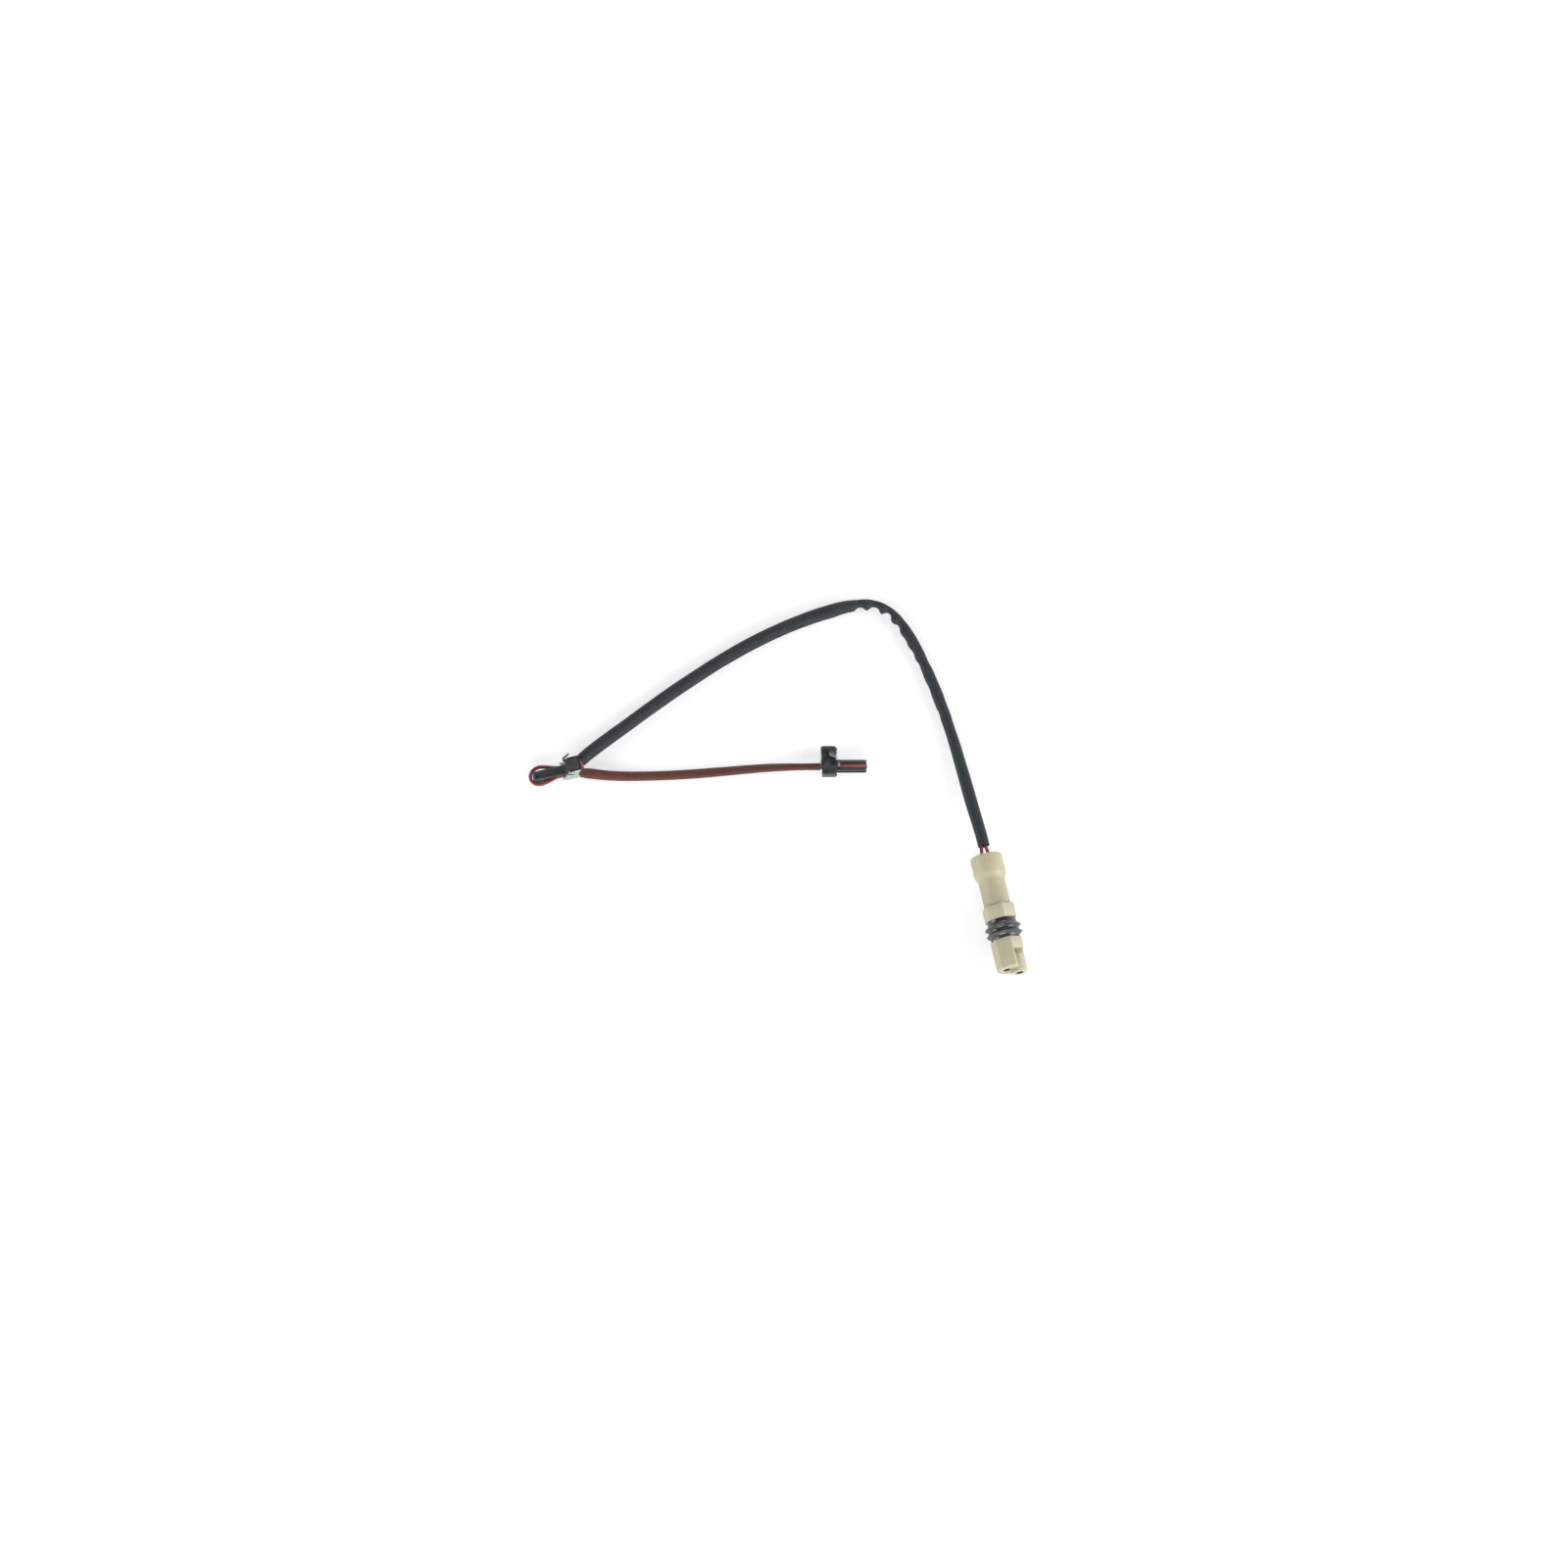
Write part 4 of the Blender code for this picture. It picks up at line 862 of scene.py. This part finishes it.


# %% [markdown]
# ## Grain, dust and painted glints
#
# Moulded plastic, rubber and wire covering all have a fine grain that scatters the light a little, and all of
# them gather dust and finger marks. The pale specks are dust, and on the black sleeve they are in part painted
# glints. Each effect is one node group, used by every material with numbers of its own. The groups work in
# millimetres and give only masks and heights: the shader stays in the material.


# %% Moulded grain, specks and smudges
def make_grain():
    """Height = fine noise + a quarter of a slow one. Patches = the slow one, Mottle = one between, 0 to 1."""
    numbers = [("Fineness", 12.0), ("Patch Size", 4.0)]
    tree, given, result = effect_group("moulded grain", "Place", numbers, ["Height", "Patches", "Mottle"])
    fine = tree.noise(given["Place"], given["Fineness"], 3.0)
    slow = tree.noise(given["Place"], tree.maths("DIVIDE", 1.0, given["Patch Size"]), 4.0)
    middle = tree.noise(given["Place"], tree.maths("MULTIPLY", given["Fineness"], 0.22), 2.0)
    tree.join(tree.maths("MULTIPLY_ADD", slow, 0.25, fine), result["Height"])
    tree.join(tree.stretch(slow, 0.35, 0.65), result["Patches"])
    tree.join(tree.stretch(middle, 0.38, 0.62), result["Mottle"])
    return tree.tree


def make_specks_and_smudges():
    """Specks = the middles of small cells, where a slow noise is high. Smudges = broad faint patches."""
    numbers = [("Speck Size", 0.16), ("Amount", 0.3)]
    tree, given, result = effect_group("specks and smudges", "Place", numbers, ["Specks", "Smudges"])
    cells_per_mm = 1.1
    cells = tree.add("TexVoronoi", Vector=given["Place"], Scale=cells_per_mm)["Distance"]
    size = tree.maths("MULTIPLY", given["Speck Size"], cells_per_mm)
    dot = tree.stretch(cells, tree.maths("MULTIPLY", size, 0.5), size, 1.0, 0.0)
    edge = tree.maths("SUBTRACT", 0.72, tree.maths("MULTIPLY", given["Amount"], 0.3))
    where = tree.stretch(tree.noise(given["Place"], 0.55, 1.0), edge, tree.maths("ADD", edge, 0.03))
    tree.join(tree.maths("MULTIPLY", dot, where), result["Specks"])
    tree.join(tree.stretch(tree.noise(given["Place"], 0.35, 5.0), 0.48, 0.74), result["Smudges"])
    return tree.tree


grain, specks_and_smudges = make_grain(), make_specks_and_smudges()
print("groups:", grain.name, "and", specks_and_smudges.name)

# %% [markdown]
# ## Edges painted pale and hollows painted dark
#
# Edges that stand out are painted pale, partly as wear and partly as painted highlight, and hollows are darkened
# as painted shade. Blender's Pointiness tells both apart on a fine mesh. On the carriers, whose flat faces have
# few points, an attribute of the mesh does it instead.


# %% Edges painted pale, hollows painted dark
def make_edge_wear_and_painted_light():
    """Edges = how sharply the surface turns outwards there, broken up by noise. Hollows = the same inwards."""
    tree, given, result = effect_group("edge wear and painted light", "Place", [("Reach", 0.06)], ["Edges", "Hollows"])
    # Edges get their colour painted paler (wear and painted highlight); Hollows get painted shade.
    turn = tree.add("NewGeometry")["Pointiness"]
    sharp = tree.stretch(turn, 0.505, tree.maths("ADD", 0.505, given["Reach"]))
    broken = tree.stretch(tree.noise(given["Place"], 1.3, 3.0), 0.30, 0.62, 0.25, 1.0)
    tree.join(tree.maths("MULTIPLY", sharp, broken), result["Edges"])
    hollow = tree.stretch(turn, 0.495, tree.maths("SUBTRACT", 0.495, given["Reach"]))
    tree.join(hollow, result["Hollows"])
    return tree.tree


# %% [markdown]
# ## Lines from the die and from the rolls
#
# A sleeve or a wire's covering is pressed through a die, which leaves fine lines along its whole length. They
# follow the cable, so they are read from its own UV map. Steel strip keeps the scratches of the rolls, which
# are straight, so they are read from the object's coordinates.


# %% Die lines and rolled metal
def make_die_lines():
    """Noise on (cos(v), sin(v), u): long thin lines along a cable, u in millimetres and v a share of a turn."""
    numbers = [("Lines", 9.0), ("Run", 0.12)]
    tree, given, result = effect_group("die lines", "Surface", numbers, ["Height", "Streaks"])
    parts = tree.add("SeparateXYZ", Vector=given["Surface"])
    turn = tree.maths("MULTIPLY", parts["Y"], 2 * math.pi)
    ring = [tree.maths("MULTIPLY", tree.maths(wave, turn), given["Lines"]) for wave in ("COSINE", "SINE")]
    lines = tree.noise(tree.vector(*ring, tree.maths("MULTIPLY", parts["X"], given["Run"])), 1.0, 2.0)
    tree.join(lines, result["Height"])
    tree.join(tree.stretch(lines, 0.36, 0.66), result["Streaks"])
    return tree.tree


def make_rolled():
    """Height = noise squeezed to thin lines along X. Stains = slow clouds for the roughness."""
    tree, given, result = effect_group("rolled metal", "Place", [("Thinness", 14.0)], ["Height", "Stains"])
    parts = tree.add("SeparateXYZ", Vector=given["Place"])
    thin = [tree.maths("MULTIPLY", parts[axis], given["Thinness"]) for axis in ("Y", "Z")]
    line = tree.vector(tree.maths("MULTIPLY", parts["X"], 0.35), *thin)
    tree.join(tree.noise(line, 1.0, 3.0), result["Height"])
    tree.join(tree.stretch(tree.noise(given["Place"], 0.5, 4.0), 0.40, 0.66), result["Stains"])
    return tree.tree


edge_wear_and_painted_light, die_lines, rolled = make_edge_wear_and_painted_light(), make_die_lines(), make_rolled()
print("groups:", edge_wear_and_painted_light.name, die_lines.name, "and", rolled.name)

# %% [markdown]
# ## Finishes
#
# A finish starts from two colours of the real stuff that drift into each other, in slow patches and in a fine
# mottle. Specks are laid over them: the pale ones are dust, and on the black sleeve they are in part painted
# glints. Edges are laid over them paler, partly as wear and partly as painted highlight, and hollows darker, as
# painted shade. The heights of the grain and of the die lines or the rolling scratches go into one Bump node.
# Plain numbers, such as the gloss of the clear surface, are set on the shader.


# %% Finish maker
def finish(
    name,
    colour,
    second,
    roughness,
    specular=0.5,
    metallic=0.0,
    depth=0.010,
    fineness=12.0,
    patch=4.0,
    specks=0.3,
    # pale specks: dust, and on the black sleeve in part painted glints
    speck_colour=(176, 178, 172),
    wear_and_highlight_colour=None,
    wear_and_highlight_by_attribute=False,
    far=None,
    far_at=100,
    lines=None,
    scratches=False,
):
    """A Principled finish: colour and second in patches, specks, pale edges and darker hollows over them, one
    Bump.

    depth is the bump's in mm, lines the number of die lines, far the colour that a cable drifts to at far_at mm.
    """
    material = bpy.data.materials.new(name)
    material.use_nodes = True
    shader = material.node_tree.nodes["Principled BSDF"].inputs
    tree = Tree(material.node_tree)
    coordinates = tree.add("TexCoord")
    place = tree.add("Mapping", Vector=coordinates["Object"], Scale=(1 / MM, 1 / MM, 1 / MM))["Vector"]

    fine = tree.effect(grain, place, Fineness=fineness, Patch_Size=patch)
    marks = tree.effect(specks_and_smudges, place, Amount=specks)
    base = tree.laid_over(colour, second, fine["Patches"], 0.7)
    base = tree.laid_over(base, second, fine["Mottle"], 0.4)
    height = fine["Height"]
    dull_by = tree.maths("MULTIPLY_ADD", marks["Smudges"], 0.10, roughness)
    if lines:
        drawn = tree.effect(die_lines, coordinates["UV"], Lines=lines)
        base = tree.laid_over(base, second, drawn["Streaks"], 0.35)
        height = tree.maths("MULTIPLY_ADD", drawn["Height"], 0.9, height)
    if scratches:
        rolling = tree.effect(rolled, place)
        height = tree.maths("MULTIPLY_ADD", height, 0.3, rolling["Height"])
        dull_by = tree.maths("MULTIPLY_ADD", rolling["Stains"], 0.16, roughness)
    if far:
        along = tree.add("SeparateXYZ", Vector=coordinates["UV"])["X"]
        base = tree.laid_over(base, far, tree.stretch(along, 0.0, far_at), 0.6)
    # Carrier rim tops: colour painted paler, partly as wear and partly as painted highlight.
    if wear_and_highlight_by_attribute:
        wear_and_highlight = tree.add("Attribute", [("attribute_name", "edge_wear_and_painted_light")])["Fac"]
        broken = tree.maths("MULTIPLY_ADD", fine["Mottle"], 0.45, 0.55)
        base = tree.laid_over(base, wear_and_highlight_colour, tree.maths("MULTIPLY", wear_and_highlight, broken), 0.6)
    # Pale edges: partly wear, partly painted highlight. Darker hollows: painted shade.
    elif wear_and_highlight_colour:
        edges = tree.effect(edge_wear_and_painted_light, place)
        base = tree.laid_over(base, wear_and_highlight_colour, edges["Edges"], 0.75)
        base = tree.laid_over(base, tuple(c * 0.72 for c in colour), edges["Hollows"], 0.5)
    # Specks: the pale ones are dust, and on the black sleeve in part painted glints; the beige's dark ones are
    # filler.
    tree.join(tree.laid_over(base, speck_colour, marks["Specks"], 0.55), shader["Base Color"])
    tree.join(dull_by, shader["Roughness"])
    tree.join(tree.add("Bump", Strength=1.0, Distance=depth * MM, Height=height)["Normal"], shader["Normal"])
    shader["Metallic"].default_value = metallic
    shader["Specular IOR Level"].default_value = specular
    return material


# %% [markdown]
# ## Ten finishes
#
# The sleeves are matt, with hardly a highlight, and the wires have a little more gloss. The seal is oiled
# rubber and shines. The clips are cold-rolled spring steel, bright where they see the lamps and dark where
# they see the ceiling, and the second one's steel is painted darker, as painted shade. The plug's beige
# plastic has a fine speckle of filler.

# %% Finishes
# The black sleeve's pale specks are dust and in part painted glints.
BLACK_SLEEVE = dict(depth=0.016, fineness=9, patch=1.1, specks=0.22, lines=8)
BROWN_SLEEVE = dict(depth=0.012, fineness=10, patch=2.2, lines=7, far=(72, 45, 42), far_at=84)
# The carrier's rim tops are painted paler, partly as wear and partly as painted highlight.
CARRIER = dict(depth=0.014, patch=1.6, wear_and_highlight_colour=(116, 112, 102), wear_and_highlight_by_attribute=True, specks=0.25)
METAL = dict(metallic=1.0, depth=0.004, scratches=True)
# Beige and seal: the paler edges are wear and painted highlight; the darker hollows are painted shade.
BEIGE = dict(fineness=8, patch=3.0, wear_and_highlight_colour=(212, 208, 186), speck_colour=(128, 120, 96), specks=0.35)
SEAL = dict(depth=0.005, patch=2.0, wear_and_highlight_colour=(104, 106, 104), specks=0.4)
WIRE = dict(depth=0.006, patch=2.5, lines=5)
finishes = {
    # slot: name, colour, second colour, roughness, specular level, and the rest
    "sleeve_black": finish("soft black sleeve", (43, 47, 50), (58, 63, 66), 0.58, 0.22, **BLACK_SLEEVE),
    "sleeve_brown": finish("red-brown sleeve", (94, 56, 51), (113, 72, 65), 0.55, 0.22, **BROWN_SLEEVE),
    "wire_red": finish("red wire covering", (129, 55, 60), (148, 75, 78), 0.40, 0.40, **WIRE),
    "carrier_plastic": finish("dark carrier plastic", (55, 59, 63), (66, 70, 73), 0.45, 0.40, **CARRIER),
    "spring_steel": finish("bright spring steel", (190, 195, 191), (166, 172, 169), 0.18, specks=0.1, **METAL),
    # The second clip: the same spring steel, painted darker as painted shade.
    "spring_steel_in_painted_shade": finish("spring steel darkened as painted shade", (132, 137, 137), (112, 117, 118), 0.30, specks=0.1, **METAL),
    "plug_beige": finish("beige plug plastic", (185, 179, 149), (195, 189, 160), 0.44, 0.45, **BEIGE),
    "seal_rubber": finish("black seal rubber", (42, 45, 49), (54, 57, 60), 0.27, 0.8, **SEAL),
    "wire_seal_rubber": finish("pale wire seal rubber", (188, 146, 126), (196, 156, 136), 0.50, depth=0.008),
    # The contacts are painted dark, as painted shade inside the socket holes.
    "tinned_brass": finish("tinned brass darkened as painted shade", (60, 55, 46), (46, 42, 36), 0.55, **METAL),
}
print("finishes:", sorted(finishes))

# %% [markdown]
# ## Dressing
#
# Each piece gets the one finish of the stuff it is made of; the second clip's and the contacts' are darkened as
# painted shade. A copy of a imported piece may still hold that piece's material, so the list is emptied first.

# %% Dress the pieces
dressed = {
    "sleeve_black": [black_sleeve],
    "sleeve_brown": [brown_sleeve],
    "wire_red": wires,
    "carrier_plastic": carriers,
    "spring_steel": clips[:1],
    # The second clip's steel is painted darker, as painted shade.
    "spring_steel_in_painted_shade": clips[1:],
    "plug_beige": [housing],
    "seal_rubber": [lip_seal],
    "wire_seal_rubber": [wire_seal],
    # The contacts' dark colour is painted shade.
    "tinned_brass": contacts,
}
for slot, pieces in dressed.items():
    for piece in pieces:
        piece.data.materials.clear()
        piece.data.materials.append(finishes[slot])
print("dressed:", {slot: len(pieces) for slot, pieces in dressed.items()})

# %% [markdown]
# ## Floor
#
# The sensor lies on a white surface. The floor is a white sheet that scatters light, with a little glow of its
# own that only the camera and reflections see. So it comes out white, gives no extra light to the pieces, and
# still shows their shadow.

# %% Floor
FLOOR_WHITE, FLOOR_GLOW, FLOOR_HALF = 0.66, 0.54, 4
corners = [(x * FLOOR_HALF, y * FLOOR_HALF, 0) for x, y in ((-1, -1), (1, -1), (1, 1), (-1, 1))]
floor_mesh = bpy.data.meshes.new("floor")
floor_mesh.from_pydata(corners, [], [(0, 1, 2, 3)])
floor = bpy.data.objects.new("floor", floor_mesh)
bpy.context.scene.collection.objects.link(floor)
floor_finish = bpy.data.materials.new("white sheet")
floor_finish.use_nodes = True
sheet = floor_finish.node_tree.nodes["Principled BSDF"].inputs
sheet["Base Color"].default_value = (FLOOR_WHITE, FLOOR_WHITE, FLOOR_WHITE, 1)
sheet["Roughness"].default_value = 1.0
sheet["Specular IOR Level"].default_value = 0.0
sheet["Emission Color"].default_value = (1, 1, 1, 1)
tree = Tree(floor_finish.node_tree)
ray = tree.add("LightPath")
seen = tree.maths("MAXIMUM", ray["Is Camera Ray"], ray["Is Glossy Ray"])
seen = tree.maths("MAXIMUM", seen, ray["Is Transmission Ray"])
tree.join(tree.maths("MULTIPLY", seen, FLOOR_GLOW), sheet["Emission Strength"])
floor_mesh.materials.append(floor_finish)
print("floor:", FLOOR_WHITE, "white with a glow of", FLOOR_GLOW)

# %% [markdown]
# ## Surroundings
#
# Polished steel shows what is around it. The walls of this studio are bright near the surface and its ceiling
# is dark, so flat steel that looks up turns dark grey while its sides stay bright, as in the picture. The
# right and the front are a little brighter than the left and the back.

# %% Surroundings
world = bpy.data.worlds.new("studio")
bpy.context.scene.world = world
world.use_nodes = True
tree = Tree(world.node_tree)
towards = tree.add("SeparateXYZ", Vector=tree.add("TexCoord")["Generated"])
heights = dict(From_Min=0.05, From_Max=0.66, To_Min=0.95, To_Max=0.09)
level = tree.add("MapRange", [("interpolation_type", "SMOOTHSTEP")], Value=towards["Z"], **heights)[0]
to_right = tree.maths("MULTIPLY_ADD", towards["X"], 0.35, 0.95)
to_front = tree.maths("MULTIPLY_ADD", towards["Y"], -0.30, to_right)
background = world.node_tree.nodes["Background"].inputs
tree.join(tree.maths("MULTIPLY", level, to_front), background["Strength"])
background["Color"].default_value = (1, 1, 1, 1)
print("studio: walls", heights["To_Min"], "ceiling", heights["To_Max"])


# %% [markdown]
# ## Lamps
#
# Large soft lamps stand low on all four sides, because the sides of the plug are brighter than its top in the
# picture. The level is what a lamp gives a white surface that faces it, so a colour renders about as written.


# %% Lamps
def softbox(name, place, side, level):
    """A square soft lamp aimed at the middle: power = pi^2 * distance^2 * the level it gives a facing surface."""
    lamp = bpy.data.lights.new(name, "AREA")
    lamp.shape = "SQUARE"
    lamp.size = side
    away = Vector(place)
    lamp.energy = math.pi**2 * away.length**2 * level
    item = bpy.data.objects.new(name, lamp)
    item.location = away
    item.rotation_euler = away.to_track_quat("Z", "Y").to_euler()
    bpy.context.scene.collection.objects.link(item)
    print(name, "watts:", round(lamp.energy, 1))


softbox("right lamp", (1.45, -0.15, 0.66), 1.2, 0.75)
softbox("left lamp", (-1.45, -0.15, 0.62), 0.8, 0.50)
softbox("front lamp", (0.10, -1.40, 0.68), 0.9, 0.55)
softbox("back lamp", (0.0, 1.45, 0.65), 0.9, 0.30)
bpy.context.scene.view_settings.view_transform = "Standard"
